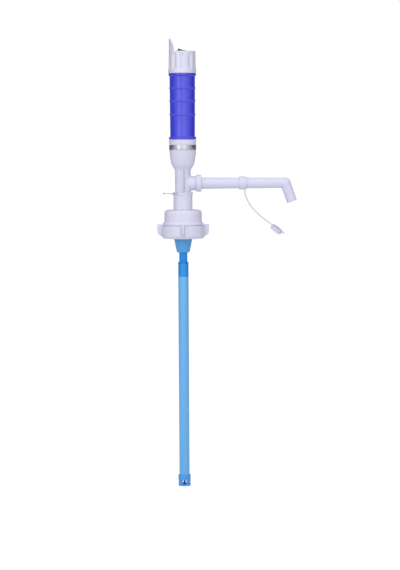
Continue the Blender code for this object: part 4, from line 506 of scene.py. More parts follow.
# %% [markdown]
# ## Moulded white plastic
#
# The shell is ABS with a faint lilac cast. New ABS isn't one flat colour: the melt flows in
# slow clouds, the gloss varies where the tool was polished, and the skin has a fine orange
# peel, some hundredths of a millimetre deep. Those three layers are three noises, one for
# the colour, one for the roughness and one for the relief.

# %% White plastic, glossy and plain
PEEL_DEPTH = 0.00006


def white_plastic(name, colour, roughness, seed, sheen=0.5):
    finish = Finish(name)
    clouds = finish.noise(26 + seed, 3.0)
    specks = finish.noise(1500 + 40 * seed, 1.0)
    shade = clouds * 0.8 + specks * 0.2
    tone = finish.blend(shade, scaled(colour, 0.955), scaled(colour, 1.03))
    peel = finish.noise(420, 2.0) * 0.7 + finish.noise(1700, 2.0) * 0.3
    wear = (finish.noise(60 + seed, 2.0) - 0.5) * 0.10
    return finish.done(
        Base_Color=tone,
        Roughness=roughness + wear + (specks - 0.5) * 0.05,
        Specular_IOR_Level=sheen,
        Normal=finish.bump(peel, PEEL_DEPTH, 0.35),
    )


print("orange peel: %.2f mm deep" % (PEEL_DEPTH / MM))

# %% [markdown]
# ## The grip's finish and the band's
#
# The grip is a soft-touch blue with a fine leathery grain that breaks up its highlight. The
# band is polished steel whose brush lines run round it, so its noise is stretched until it
# becomes rings. Finger marks dull it in patches.

# %% Soft grip and polished band
GRAIN_DEPTH = 0.00010
BRUSH_DEPTH = 0.00002


def soft_grip(name, colour):
    finish = Finish(name)
    clouds = finish.noise(34, 3.0)
    grain = finish.noise(2600, 3.0, 0.6)
    shade = clouds * 0.6 + grain * 0.4
    return finish.done(
        Base_Color=finish.blend(shade, scaled(colour, 0.93), scaled(colour, 1.06)),
        Roughness=0.22 + (grain - 0.5) * 0.12 + (clouds - 0.5) * 0.08,
        Specular_IOR_Level=1.0,
        Normal=finish.bump(grain, GRAIN_DEPTH, 0.35),
    )


def polished_band(name, colour):
    finish = Finish(name)
    lines = finish.noise(90, 4.0, 0.7, (1, 1, 160))
    fine = finish.noise(400, 2.0, 0.6, (1, 1, 60))
    prints = finish.noise(180, 2.0)
    shade = lines * 0.7 + prints * 0.3
    return finish.done(
        Base_Color=finish.blend(shade, scaled(colour, 0.86), scaled(colour, 1.08)),
        Metallic=1.0,
        Roughness=0.24 + (lines - 0.5) * 0.10 + (prints - 0.5) * 0.08,
        Normal=finish.bump(fine, BRUSH_DEPTH, 0.4),
    )


print("grain: %.2f mm deep, brush lines: %.2f mm" % (GRAIN_DEPTH / MM, BRUSH_DEPTH / MM))

# %% [markdown]
# ## The blue water parts
#
# The socket, the tube and the strainer are a clear, saturated blue with a wet gloss, and
# faint streaks along the tube from the extruder. In the photograph the cone of the socket
# is paler than its neck, and the top of the tube is a deeper blue than the rest. Two
# colours that change at a height give both, without a second piece.

# %% Blue plastic with a second colour above a height
STREAK_DEPTH = 0.00005
CHANGE_HALF = 0.0004


def water_blue(name, colour, depth, upper=None, change=0.0):
    """Clear blue plastic, which may have another colour above the height `change`."""
    finish = Finish(name)
    clouds = finish.noise(22, 3.0, 0.5, (1, 1, 0.25))
    streaks = finish.noise(240, 2.0, 0.5, (1, 1, 0.06))
    shade = clouds * 0.5 + streaks * 0.5
    tone = finish.blend(shade, scaled(colour, 1 - depth), scaled(colour, 1 + depth))
    if upper:
        over = finish.between(finish.axis("Z"), change - CHANGE_HALF, change + CHANGE_HALF)
        above = finish.blend(shade, scaled(upper, 1 - depth), scaled(upper, 1 + depth))
        tone = finish.blend(over, tone, above)
    return finish.done(
        Base_Color=tone,
        Roughness=0.22 + (streaks - 0.5) * 0.10,
        IOR=1.50,
        Normal=finish.bump(streaks, STREAK_DEPTH, 0.35),
    )


print("the blues change within %.1f mm" % (2 * CHANGE_HALF / MM))

# %% [markdown]
# ## Finishes of the inner pieces
#
# Rubber, brass, steel, black plastic and the cell jackets are inside the pump, and show
# when it is taken apart. Rubber has a matt bloom over a fine grain, drawn metal has lines
# along or round it, and dark plastic keeps the texture of a spark-eroded tool.

# %% Rubber, metals and the darker plastics
RUBBER_DEPTH = 0.00012
SPARK_DEPTH = 0.00004


def rubber(name, colour):
    finish = Finish(name)
    grain = finish.noise(1300, 3.0, 0.6)
    bloom = finish.noise(90, 3.0)
    return finish.done(
        Base_Color=finish.blend(bloom, scaled(colour, 0.85), scaled(colour, 1.15)),
        Roughness=0.62 + (grain - 0.5) * 0.25,
        Normal=finish.bump(grain, RUBBER_DEPTH, 0.4),
    )


def metal(name, colour, roughness, stretch):
    finish = Finish(name)
    lines = finish.noise(260, 3.0, 0.6, stretch)
    stain = finish.noise(120, 3.0)
    shade = stain * 0.6 + lines * 0.4
    return finish.done(
        Base_Color=finish.blend(shade, scaled(colour, 0.82), scaled(colour, 1.05)),
        Metallic=1.0,
        Roughness=roughness + (lines - 0.5) * 0.14 + (stain - 0.5) * 0.10,
        Normal=finish.bump(lines, BRUSH_DEPTH, 0.4),
    )


def dark_plastic(name, colour, roughness):
    finish = Finish(name)
    grain = finish.noise(1800, 2.0)
    clouds = finish.noise(50, 2.0)
    shade = clouds * 0.5 + grain * 0.5
    return finish.done(
        Base_Color=finish.blend(shade, scaled(colour, 0.85), scaled(colour, 1.2)),
        Roughness=roughness + (grain - 0.5) * 0.12,
        Normal=finish.bump(grain, SPARK_DEPTH, 0.35),
    )


print("rubber grain: %.2f mm deep" % (RUBBER_DEPTH / MM))

# %% [markdown]
# ## The list of finishes
#
# Each name is a material slot of the record. The white pieces come out of different moulds
# and batches, so each has its own seed, which changes the size of its clouds a little. The
# cap is glossier than the rest, as in the photograph.

# %% All finishes by name
WHITE = rgb(223, 222, 244)
GREY_WHITE = rgb(206, 206, 212)
CONE_FOOT = -0.0664
DEEP_BLUE_FOOT = -0.1080
SATIN, POLISHED = (0.23, 0.5), (0.13, 1.0)
finishes = {
    "gasket_rubber": rubber("gasket_rubber", rgb(205, 205, 210)),
    "seal_rubber": rubber("seal_rubber", rgb(38, 38, 40)),
    "band_steel": polished_band("band_steel", rgb(206, 206, 208)),
    "grip_blue": soft_grip("grip_blue", rgb(50, 55, 222)),
    "brass": metal("brass", rgb(214, 178, 104), 0.30, (1, 1, 4)),
    "steel": metal("steel", rgb(190, 190, 194), 0.26, (8, 8, 1)),
    "cell_jacket": metal("cell_jacket", rgb(150, 152, 160), 0.34, (1, 1, 12)),
    "black_plastic": dark_plastic("black_plastic", rgb(30, 28, 30), 0.42),
    "rocker_maroon": dark_plastic("rocker_maroon", rgb(62, 4, 14), 0.6),
    "inner_plastic": white_plastic("inner_plastic", GREY_WHITE, 0.45, 2),
    "socket_blue": water_blue(
        "socket_blue", rgb(8, 142, 232), 0.10, rgb(88, 168, 234), CONE_FOOT
    ),
    "tube_blue": water_blue(
        "tube_blue", rgb(108, 182, 242), 0.09, rgb(20, 146, 230), DEEP_BLUE_FOOT
    ),
    "foot_blue": water_blue("foot_blue", rgb(70, 160, 236), 0.10),
    "strap_white": white_plastic("strap_white", rgb(220, 221, 219), 0.42, 5),
    "clip_white": white_plastic("clip_white", rgb(206, 206, 214), 0.40, 6),
    "collet_white": white_plastic("collet_white", GREY_WHITE, 0.48, 7),
}
for seed, slot_name in enumerate((
    "sleeve_white", "dome_white", "ring_white", "body_white", "barrel_white",
    "cap_white", "nut_white", "spout_white", "tether_white", "nozzle_cap_white",
)):
    roughness, sheen = POLISHED if slot_name == "cap_white" else SATIN
    finishes[slot_name] = white_plastic(slot_name, WHITE, roughness, seed, sheen)
print("finishes: %d" % len(finishes))

# %% [markdown]
# A finished piece gets its material, moves with a body of the frame, and stands for one or
# more solids. Those three belong together, so one function does them and says so. The
# strap comes first.

# %% Dressing a piece
def finished(piece, slot_name, body, *nodes):
    """Gives a piece its finish, its body and the solids that it stands for."""
    piece.data.materials.clear()
    piece.data.materials.append(finishes[slot_name])
    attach(piece, body)
    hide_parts(*nodes)
    size = "%d faces" % len(piece.data.polygons) if piece.type == "MESH" else "a curve"
    print("%s: %s, %s, moves with %s" % (piece.name, size, slot_name, body))
    return piece


finished(cap_strap, "strap_white", "tether", "tether_strap")

# %% [markdown]
# ## The pump body
#
# The body is one moulding: a bell for the motor, a bowl that sweeps in under it, a straight
# water passage, a side boss with the outlet thread, and a web up the front that stiffens
# the bowl. The sweep is one smooth curve, because the eye follows it from the band to the
# passage. It is drawn as shares of the bell's overhang and of its height.

# %% The outside of the body, with its boss
PASSAGE_RADIUS = 13.35
TAIL_RADIUS = 13.2
BELL_RADIUS = 22.95
BOWL_RADIUS = 22.6
BAND_GROOVE = 22.1
BELL_TOP = 125.0
BAND_TOP = 115.6
BAND_FOOT = 107.4
BELL_FOOT = 70.0
SLEEVE_TOP = 35.5
CLIP_SLOT = (32.2, 34.6)
CLIP_GROOVE = 11.2
TAIL_FOOT = -36.0
SPOUT_LEVEL = 50.7
BOSS_RADIUS = 12.1
BOSS_REACH = 22.0
THREAD_CREST, THREAD_ROOT = 11.1, 10.6
PLAY = 0.3
BOWL_SHARES = (
    (1.0, 1.0), (0.957, 0.836), (0.880, 0.680), (0.800, 0.550), (0.705, 0.430),
    (0.580, 0.335), (0.420, 0.262), (0.250, 0.200), (0.105, 0.148), (0.020, 0.095), (0.0, 0.03),
)
bowl = flowing([
    (
        PASSAGE_RADIUS + (BOWL_RADIUS - PASSAGE_RADIUS) * across,
        BELL_FOOT + (BAND_FOOT - BELL_FOOT) * up,
        0,
    )
    for across, up in BOWL_SHARES
], 5)
body_corners = [
    (0, BELL_TOP, 0), (BELL_RADIUS, BELL_TOP, 1.1), (BELL_RADIUS, BAND_TOP + PLAY, 0.25),
    (BAND_GROOVE, BAND_TOP + PLAY, 0), (BAND_GROOVE, BAND_FOOT - PLAY, 0),
]
body_corners += [(spot.x, spot.y - PLAY, 0) for spot in bowl]
body_corners += [
    (PASSAGE_RADIUS, SLEEVE_TOP + PLAY, 0.3), (TAIL_RADIUS, SLEEVE_TOP + PLAY, 0),
    (TAIL_RADIUS, CLIP_SLOT[1], 0), (CLIP_GROOVE, CLIP_SLOT[1], 0),
    (CLIP_GROOVE, CLIP_SLOT[0], 0), (TAIL_RADIUS, CLIP_SLOT[0], 0),
    (TAIL_RADIUS, 13.3, 0), (12.0, 13.3, 0), (12.0, 11.5, 0), (TAIL_RADIUS, 11.5, 0),
    (TAIL_RADIUS, TAIL_FOOT, 0.6), (0, TAIL_FOOT, 0),
]
pump_shell = lathe("pump_shell", softened(body_corners), FINE)
boss_corners = [
    (0, 27.4, 0), (THREAD_CREST, 27.4, 0.3), (THREAD_CREST, 26.6, 0),
    (THREAD_ROOT, 26.2, 0.15), (THREAD_CREST, 25.8, 0.1), (THREAD_CREST, 25.0, 0.1),
    (THREAD_ROOT, 24.6, 0.15), (THREAD_CREST, 24.2, 0.1), (THREAD_CREST, 23.4, 0.1),
    (THREAD_ROOT, 23.0, 0.15), (THREAD_ROOT, BOSS_REACH, 0), (BOSS_RADIUS, BOSS_REACH, 0.5),
    (BOSS_RADIUS, 0, 0), (0, 0, 0),
]
boss = aimed(lathe("boss", softened(boss_corners), MEDIUM), (0, 0, SPOUT_LEVEL), (1, 0, 0))
add(pump_shell, boss)
print("bowl: %d points between the band and the passage" % len(bowl))

# %% [markdown]
# The web is a slim rib that follows the passage and dies out in the bowl. It is a little
# wider at its root than at its crest, so that it leaves the mould, and its crest is
# rounded. A shallow line runs beside it on both sides, and makes it read from afar.

# %% The front rib
RIB_CREST = 1.25
RIB_ROOT = 1.5
RIB_FOOT = 36.1
LINE_TOP = 73.0
LINE_FRONT = -14.5
rib_crest = [
    (16.4, RIB_FOOT), (16.4, 68.0), (16.6, 71.6), (17.4, 74.6), (18.8, 77.9), (19.8, 80.9),
]
rib_root = [(11.85, height) for _, height in rib_crest[:-1]] + [(11.85, 82.0)]


def sloped_rib(crest, root):
    """A web on the -Y side that is wide at its root and narrow at its crest."""
    vertices = []
    for (far, high), (near, low) in zip(crest, root):
        vertices += [
            (-RIB_ROOT, -near, low), (-RIB_CREST, -far, high),
            (RIB_CREST, -far, high), (RIB_ROOT, -near, low),
        ]
    last = len(vertices) - 4
    faces = [[0, 1, 2, 3], [last + 3, last + 2, last + 1, last]]
    for first in range(0, last, 4):
        for step in range(4):
            after = (step + 1) % 4
            faces.append([first + after, first + step, first + step + 4, first + after + 4])
    return bevelled(mesh_piece("rib", vertices, faces), 0.45, 3, 35)


add(pump_shell, sloped_rib(rib_crest, rib_root))
for name, low, high in (
    ("right_groove", (RIB_ROOT, LINE_FRONT, RIB_FOOT), (RIB_ROOT + 1.4, -11.2, LINE_TOP)),
    ("left_groove", (-RIB_ROOT - 0.5, LINE_FRONT, RIB_FOOT), (-RIB_ROOT, -12.9, LINE_TOP)),
):
    take(pump_shell, box(name, low, high))
print("rib: from %.1f to %.1f mm up" % (RIB_FOOT, rib_crest[-1][1]))

# %% [markdown]
# The inside is a stepped bore: wide for the motor, narrower for the seals, and a straight
# pipe down to the tail. The boss meets the passage with a rolling-ball fillet, which a
# Boolean can't give, so the fillet is a strip of its own laid in the corner.

# %% The hollow of the body, and the fillet
HOLLOW = [
    (0, 128.5), (20.7, 128.5), (20.7, 117.2), (19.2, 117.2), (19.2, 93.7), (14.5, 93.7),
    (14.5, 82.0), (10.6, 78.0), (10.6, 66.0), (8.5, 66.0), (8.5, -9.5), (11.0, -12.0),
    (11.0, -39.0), (0, -39.0),
]
OUTLET = [(0, 31.0), (7.6, 31.0), (7.6, 0), (0, 0)]
FILLET_RADIUS = 2.6
FILLET_OVERLAP = 0.06
take(pump_shell, lathe("hollow", HOLLOW, MEDIUM))
outlet = lathe("outlet", OUTLET, SMALL)
take(pump_shell, aimed(outlet, (0, 0, SPOUT_LEVEL), (1, 0, 0)))


def tee_fillet(radius, overlap):
    """The strip that a ball leaves as it rolls round the boss, against the passage."""
    around, across = 96, 8
    wide_body, wide_boss = PASSAGE_RADIUS + radius, BOSS_RADIUS + radius
    vertices = []
    for index in range(around):
        angle = math.tau * index / around
        side, up = wide_boss * math.cos(angle), wide_boss * math.sin(angle)
        centre = Vector((math.sqrt(max(wide_body ** 2 - side ** 2, 0)), side, up))
        to_body = Vector((-centre.x, -centre.y, 0)).normalized()
        to_boss = Vector((0, -math.cos(angle), -math.sin(angle)))
        spread = to_body.angle(to_boss)
        for step in range(across + 1):
            share = -overlap + (1 + 2 * overlap) * step / across
            body_share = math.sin((1 - share) * spread) / math.sin(spread)
            boss_share = math.sin(share * spread) / math.sin(spread)
            vertices.append(centre + (to_body * body_share + to_boss * boss_share) * radius)
    faces = []
    row = across + 1
    for index in range(around):
        after = (index + 1) % around
        for step in range(across):
            faces.append([
                index * row + step, after * row + step,
                after * row + step + 1, index * row + step + 1,
            ])
    strip = mesh_piece("tee_fillet", vertices, faces)
    return moved(strip, Matrix.Translation((0, 0, SPOUT_LEVEL * MM)))


pump_shell = joined(pump_shell, tee_fillet(FILLET_RADIUS, FILLET_OVERLAP))
smooth(pump_shell)
finished(pump_shell, "body_white", "head", "pump_body")

# %% [markdown]
# ## The metal band
#
# A strip of polished steel, pressed in a shallow groove of the bell and flush with it. It
# could be a second finish on the bell's own faces, but a ring of its own, with edges that
# are rolled a little, catches the light as the real one does. The band is plain.

# %% The band
BAND_INSIDE = 22.4
steel_band = lathe("steel_band", softened([
    (BAND_INSIDE, BAND_TOP, 0), (BELL_RADIUS, BAND_TOP, 0.25),
    (BELL_RADIUS, BAND_FOOT, 0.25), (BAND_INSIDE, BAND_FOOT, 0),
]), FINE)
smooth(steel_band)
finished(steel_band, "band_steel", "head", "metal_band")

# %% [markdown]
# ## The grip
#
# A soft blue sleeve is pulled over the cell tube. Two flanges close it off, and three thin
# rings keep the hand from slipping. The side tapers slightly towards the bell.

# %% The grip sleeve
GRIP_FOOT = 125.3
GRIP_HEIGHT = 110.9
GRIP_FOOT_RADIUS = 20.9
GRIP_TOP_RADIUS = 21.6
GRIP_BORE = 19.3
FLANGE_RADIUS = 23.2
RING_SHARES = (0.778, 0.583, 0.377)
RING_RISE = 0.9


def grip_side(height):
    return GRIP_FOOT_RADIUS + (GRIP_TOP_RADIUS - GRIP_FOOT_RADIUS) * height / GRIP_HEIGHT


grip_corners = [
    (GRIP_BORE, GRIP_HEIGHT, 0), (FLANGE_RADIUS, GRIP_HEIGHT, 0.4),
    (FLANGE_RADIUS, GRIP_HEIGHT - 3.4, 0.5), (22.4, GRIP_HEIGHT - 3.9, 0.3),
    (grip_side(107), GRIP_HEIGHT - 4.5, 0.7),
]
for share in RING_SHARES:
    middle = GRIP_HEIGHT * share
    base = grip_side(middle)
    grip_corners += [
        (base, middle + 1.7, 0.5), (base + RING_RISE, middle + 0.75, 0.55),
        (base + RING_RISE, middle - 0.75, 0.55), (base, middle - 1.7, 0.5),
    ]
grip_corners += [
    (grip_side(4), 4.4, 0.7), (22.6, 3.7, 0.6), (FLANGE_RADIUS, 2.7, 0.6),
    (FLANGE_RADIUS, 0.9, 0.5), (22.6, 0, 0.4), (GRIP_BORE, 0, 0),
]
blue_grip = lathe("blue_grip", softened(grip_corners, 5), FINE)
moved(blue_grip, Matrix.Translation((0, 0, GRIP_FOOT * MM)))
smooth(blue_grip)
finished(blue_grip, "grip_blue", "head", "grip_sleeve")

# %% [markdown]
# ## The fluted cap
#
# The cap is a slightly conical cup with ten scooped flutes for the fingers. A flute is the
# mark of a round cutter, so its depth is worked out from the cutter's circle at each point,
# and its two ends are round as well. Working on the lathe's own radius keeps the surface
# smooth.

# %% The flutes
CAP_FOOT = 236.5
CAP_HEIGHT = 37.2
FLUTE_COUNT = 10
FLUTE_CUTTER = 8.0
FLUTE_DEPTH = 1.6
FLUTE_LOW = CAP_FOOT + 7.2
FLUTE_HIGH = CAP_FOOT + 33.2
FLUTE_EDGE = 0.35
FLUTED_FROM = 21.9


def soft_least(first, second, width):
    """The smaller of two lengths, with a rounded change from one to the other."""
    overlap = max(width - abs(first - second), 0) / width
    return min(first, second) - overlap * overlap * width / 4


def fluted(angle, radius, height):
    """The cap's radius where the round cutter has scooped it."""
    if radius < FLUTED_FROM:
        return radius
    step = math.tau / FLUTE_COUNT
    turn = angle % step - step / 2
    half_width = math.sqrt(2 * FLUTE_DEPTH * FLUTE_CUTTER * radius / (FLUTE_CUTTER + radius))
    past = max(height - (FLUTE_HIGH - half_width), (FLUTE_LOW + half_width) - height, 0)
    reach = radius - FLUTE_DEPTH + FLUTE_CUTTER
    aside = math.hypot(reach * math.sin(turn), past)
    if aside >= FLUTE_CUTTER:
        return radius
    scooped = reach * math.cos(turn) - math.sqrt(FLUTE_CUTTER ** 2 - aside ** 2)
    return soft_least(radius, scooped, FLUTE_EDGE)


print("a flute: %.1f mm deep, %.1f mm high" % (FLUTE_DEPTH, FLUTE_HIGH - FLUTE_LOW))

# %% [markdown]
# The cup's side is cut in many low rows, because the ends of the flutes need them, and
# turned in 260 steps for the same reason. A thin skirt at its foot meets the grip, and the
# switch drops in a hole of the top.

# %% The cap's cup
CAP_TOP_RADIUS = 22.5
CAP_SLOPE = 0.7
CAP_INSIDE = 20.0
CAP_SKIRT = 23.75
CAP_SIDES = 260
CAP_ROWS = 44
cap_top = CAP_FOOT + CAP_HEIGHT
cap_side = []
for index in range(CAP_ROWS + 1):
    share = index / CAP_ROWS
    cap_side.append((
        CAP_TOP_RADIUS + CAP_SLOPE * share, cap_top - 1.6 - share * (CAP_HEIGHT - 1.6 - 6.4),
    ))
cap_edge = softened([
    (21.0, cap_top, 0), (CAP_TOP_RADIUS, cap_top, 1.1),
    (CAP_TOP_RADIUS, cap_top - 2.4, 0), (20.0, cap_top - 2.4, 0),
], 5)[1:7]
cap_profile = [(0, cap_top)] + cap_edge + cap_side
cap_profile += softened([
    (23.25, CAP_FOOT + 6.2, 0), (CAP_SKIRT, CAP_FOOT + 3.6, 0.9), (CAP_SKIRT, CAP_FOOT, 0.6),
    (CAP_INSIDE, CAP_FOOT, 0), (CAP_INSIDE, cap_top - 2.5, 1.0), (15.0, cap_top - 2.5, 0),
])[1:-1]
cap_profile += [(0, cap_top - 2.5)]
fluted_cap = lathe("fluted_cap", cap_profile, CAP_SIDES, fluted)
take(fluted_cap, box("switch_hole", (-9.3, -4.8, cap_top - 5), (7.3, 4.8, cap_top + 5)))
print("cap: %d points in its profile" % len(cap_profile))

# %% [markdown]
# The tongue beside the switch is part of the same wall, drawn up to a thin tip, and guards
# the switch when the pump lies in a drawer. Its outline is half an oval between two small
# fillets. Columns of points go up its outer side, over a rounded rim and down inside,
# which gives an even, soft rim all round.

# %% The tongue beside the switch
GUARD_HEIGHT = 21.5
GUARD_RADIUS = 22.35
GUARD_THICKNESS = 2.5
GUARD_HALF_ANGLE = math.radians(45.5)
GUARD_POWER = 2.5
GUARD_FILLET = 3.0
GUARD_ROOT = 1.5
OVAL_START = math.radians(7)


def guard_outline():
    """Angles from the tongue's middle with the height there: fillet, half oval, fillet."""
    middle_radius = GUARD_RADIUS - GUARD_THICKNESS / 2
    root = []
    for step in range(8):
        bend = math.pi / 2 * (1 - step / 8)
        aside = GUARD_FILLET * (1 - math.cos(bend)) / middle_radius
        root.append((GUARD_HALF_ANGLE + aside, GUARD_FILLET * (1 - math.sin(bend))))
    side = []
    for step in range(25):
        turn = OVAL_START * (1 - step / 24) + math.pi / 2 * step / 24
        aside = math.cos(turn) ** (2 / GUARD_POWER)
        height = math.sin(turn) ** (2 / GUARD_POWER)
        side.append((GUARD_HALF_ANGLE * aside, GUARD_HEIGHT * height))
    half = root + side
    return half + [(-angle, height) for angle, height in reversed(half[:-1])]


def guard_shell():
    """A curved tongue: columns go up its outer side, over a rounded rim, and down inside."""
    rise, rim = 14, 6
    half = GUARD_THICKNESS / 2
    vertices = []
    outline = guard_outline()
    for aside, top in outline:
        angle = math.pi + aside
        outer_side = [
            (0, -GUARD_ROOT + (top - half + GUARD_ROOT) * step / rise) for step in range(rise)
        ]
        over = []
        for step in range(rim + 1):
            bend = math.pi * step / rim
            over.append((half - half * math.cos(bend), top - half + half * math.sin(bend)))
        inner_side = [(GUARD_THICKNESS, height) for _, height in reversed(outer_side)]
        for depth, height in outer_side + over + inner_side:
            radius = GUARD_RADIUS - depth
            vertices.append((
                radius * math.cos(angle), radius * math.sin(angle), cap_top + height,
            ))
    row = len(vertices) // len(outline)
    faces = []
    for column in range(len(outline) - 1):
        for step in range(row - 1):
            first = column * row + step
            faces.append([first, first + 1, first + row + 1, first + row])
    return mesh_piece("guard", vertices, faces)


fluted_cap = joined(fluted_cap, guard_shell())
smooth(fluted_cap, 38)
finished(fluted_cap, "cap_white", "cap", "battery_cap")

# %% [markdown]
# ## The switch
#
# A snap-in rocker switch: a thin black bezel, a deep pocket, and a dark red rocker that is
# pressed down on its spout side. The rocker's top is slightly dished so that a finger finds
# it, and its edges are rounded.

# %% The switch case
SWITCH_ACROSS = -1.0
PIN_LEVEL = cap_top - 0.5
BLADE_ASIDE = 3.5
bezel = box("switch_bezel", (-9.7, -5.5, cap_top + 0.3), (7.7, 5.5, cap_top + 1.1), 0.3)
add(bezel, box("case", (-9.0, -4.5, cap_top - 8.9), (7.0, 4.5, cap_top + 0.6)))
take(bezel, box("pocket", (-8.5, -3.9, cap_top - 4.9), (6.5, 3.9, cap_top + 4)))
pin_hole = lathe("pin_hole", [(0, 4.5), (1.0, 4.5), (1.0, -4.5), (0, -4.5)], PIN_SIDES)
take(bezel, aimed(pin_hole, (SWITCH_ACROSS, 0, PIN_LEVEL), (0, 1, 0)))
for side in (-1, 1):
    middle = SWITCH_ACROSS + side * BLADE_ASIDE
    take(bezel, box(
        "blade_slot", (middle - 0.45, -1.45, cap_top - 12), (middle + 0.45, 1.45, cap_top - 5.8),
    ))
smooth(bezel)
finished(bezel, "black_plastic", "cap", "switch_case")

# %% [markdown]
# The rocker is a slab with a V-shaped underside and two pins. It is drawn level and then
# tipped about its pins to the position that it has in the photograph.

# %% The rocker
ROCKER_TIP = math.radians(15)
ROCKER_HALF = 6.6
ROCKER_TOP = 3.6
DISH_DEPTH = 0.6
rocker_side = [
    (-ROCKER_HALF, ROCKER_TOP), (-ROCKER_HALF, -0.8), (0, -3.2), (ROCKER_HALF, -0.8),
    (ROCKER_HALF, ROCKER_TOP),
]
for index in range(1, 12):
    sink = DISH_DEPTH * math.sin(math.pi * index / 12)
    rocker_side.append((ROCKER_HALF * (1 - index / 6), ROCKER_TOP - sink))
rocker = slab("red_rocker", rocker_side, 7.2, 0.35)
rocker_pins = lathe("pins", [(0, 4.2), (0.7, 4.2), (0.7, -4.2), (0, -4.2)], PIN_SIDES)
add(rocker, aimed(rocker_pins, (0, 0, 0), (0, 1, 0)))
moved(rocker, Matrix.Translation(Vector((SWITCH_ACROSS, 0, PIN_LEVEL)) * MM)
      @ Matrix.Rotation(ROCKER_TIP, 4, "Y"))
smooth(rocker)
finished(rocker, "rocker_maroon", "rocker", "switch_rocker")

# %% [markdown]
# ## The sleeve
#
# The tube between body and collar carries the head. It has a rim at its top, a small bead
# just above the collar, and a flange inside the collar that keeps it there. A slot in the
# rim lets the lock clip through. All but the slot is one lathe profile.

# %% The adapter sleeve
SLEEVE_RADIUS = 16.0
SLEEVE_BORE = 13.5
SLEEVE_RIM = 16.7
FLANGE_REACH = 25.0
sleeve_corners = [
    (SLEEVE_BORE, SLEEVE_TOP, 0.3), (SLEEVE_RIM, SLEEVE_TOP, 0.5), (SLEEVE_RIM, 31.3, 0.4),
    (SLEEVE_RADIUS, 31.0, 0.2), (SLEEVE_RADIUS, 8.4, 0.2), (16.3, 7.9, 0.2),
    (16.3, 7.2, 0.2), (SLEEVE_RADIUS, 6.9, 0), (SLEEVE_RADIUS, 3.3, 0),
    (FLANGE_REACH, 3.3, 0.2), (FLANGE_REACH, 1.9, 0.2), (SLEEVE_RADIUS, 1.9, 0),
    (SLEEVE_RADIUS, TAIL_FOOT, 0.4), (SLEEVE_BORE, TAIL_FOOT, 0.4),
]
white_sleeve = lathe("white_sleeve", softened(sleeve_corners), MEDIUM)
take(white_sleeve, box("clip_slot", (-20.0, -14.7, CLIP_SLOT[0]), (9.3, 14.7, CLIP_SLOT[1])))
smooth(white_sleeve)
finished(white_sleeve, "sleeve_white", "collar", "adapter_sleeve")

# %% [markdown]
# ## The lock clip
#
# A fork slides through the slot into a groove of the body and locks the two together. Its
# back is a part of a circle, flush with the sleeve, its two prongs pass the passage on
# both sides, and its flat tab stands out at the left with a knob for the nail.

# %% The lock clip
CLIP_FLUSH = 16.4
CLIP_HALF_WIDTH = 14.4
CLIP_INSIDE = 11.5
CLIP_THICKNESS = 1.8
PRONG_END = 9.0
ARC_STEPS = 28
KNOB_AT = -32.0
CLIP_LEVEL = 33.4
spread = math.asin(CLIP_HALF_WIDTH / CLIP_FLUSH)
back_arc = [math.pi + spread * (2 * i / ARC_STEPS - 1) for i in range(ARC_STEPS + 1)]
back = [(CLIP_FLUSH * math.cos(angle), -CLIP_FLUSH * math.sin(angle)) for angle in back_arc]
inner_arc = [1.5 * math.pi - math.pi * i / ARC_STEPS for i in range(1, ARC_STEPS)]
fork = [(PRONG_END, CLIP_HALF_WIDTH)] + sorted(back, key=lambda point: -point[1])
fork += [(PRONG_END, -CLIP_HALF_WIDTH), (PRONG_END, -CLIP_INSIDE)]
fork += [(CLIP_INSIDE * math.cos(angle), CLIP_INSIDE * math.sin(angle)) for angle in inner_arc]
fork += [(PRONG_END, CLIP_INSIDE)]
white_clip = slab("white_clip", [(x, -y) for x, y in reversed(fork)], CLIP_THICKNESS, 0)
moved(white_clip, Matrix.Rotation(math.pi / 2, 4, "X"))
add(white_clip, box("tab", (-32.6, -4.0, -0.75), (-13.0, 4.0, 0.75), 0.35))
knob_corners = [(0, 1.35, 0), (2.0, 1.35, 0.5), (2.0, -1.35, 0.5), (0, -1.35, 0)]
knob = lathe("knob", softened(knob_corners), 40)
add(white_clip, moved(knob, Matrix.Translation((KNOB_AT * MM, 0, 0))))
add(white_clip, box("stop", (-18.5, -2.0, -2.2), (-16.9, 2.0, 0.2), 0.25))
moved(white_clip, Matrix.Translation((0, 0, CLIP_LEVEL * MM)))
smooth(white_clip)
finished(white_clip, "clip_white", "clip", "lock_clip")

# %% [markdown]
# ## The collar
#
# The rounded dome covers the clamp, with a lip that overhangs the wing ring and a skirt
# that the wing ring screws on. Its shoulder is one large rounding, which the profile gives
# at no cost.

# %% The dome
DOME_TOP = 5.6
DOME_RADIUS = 31.7
LIP_RADIUS = 34.85
SKIRT_RADIUS = 31.5
DOME_INSIDE = 29.3
DOME_HOLE = 16.3
dome_corners = [
    (DOME_HOLE, DOME_TOP, 0.3), (DOME_RADIUS, DOME_TOP, 6.4), (DOME_RADIUS, -14.6, 1.6),
    (LIP_RADIUS, -17.4, 0.8), (LIP_RADIUS, -20.2, 0.4), (SKIRT_RADIUS, -20.2, 0),
    (SKIRT_RADIUS, -34.0, 0.5), (DOME_INSIDE, -34.0, 0.5), (DOME_INSIDE, 1.2, 1.6),
    (26.9, 3.6, 1.0), (DOME_HOLE, 3.6, 0),
]
white_dome = lathe("white_dome", softened(dome_corners, 8), FINE)
smooth(white_dome)
finished(white_dome, "dome_white", "collar", "collar_dome")

# %% [markdown]
# ## The wing ring
#
# The wing ring screws up the dome's skirt and presses the collet in. Its four wings are
# thin vanes with a straight upper part and a curved foot that runs back to the ring. A
# shallow line on both sides of each wing shows where the vane leaves the ring.

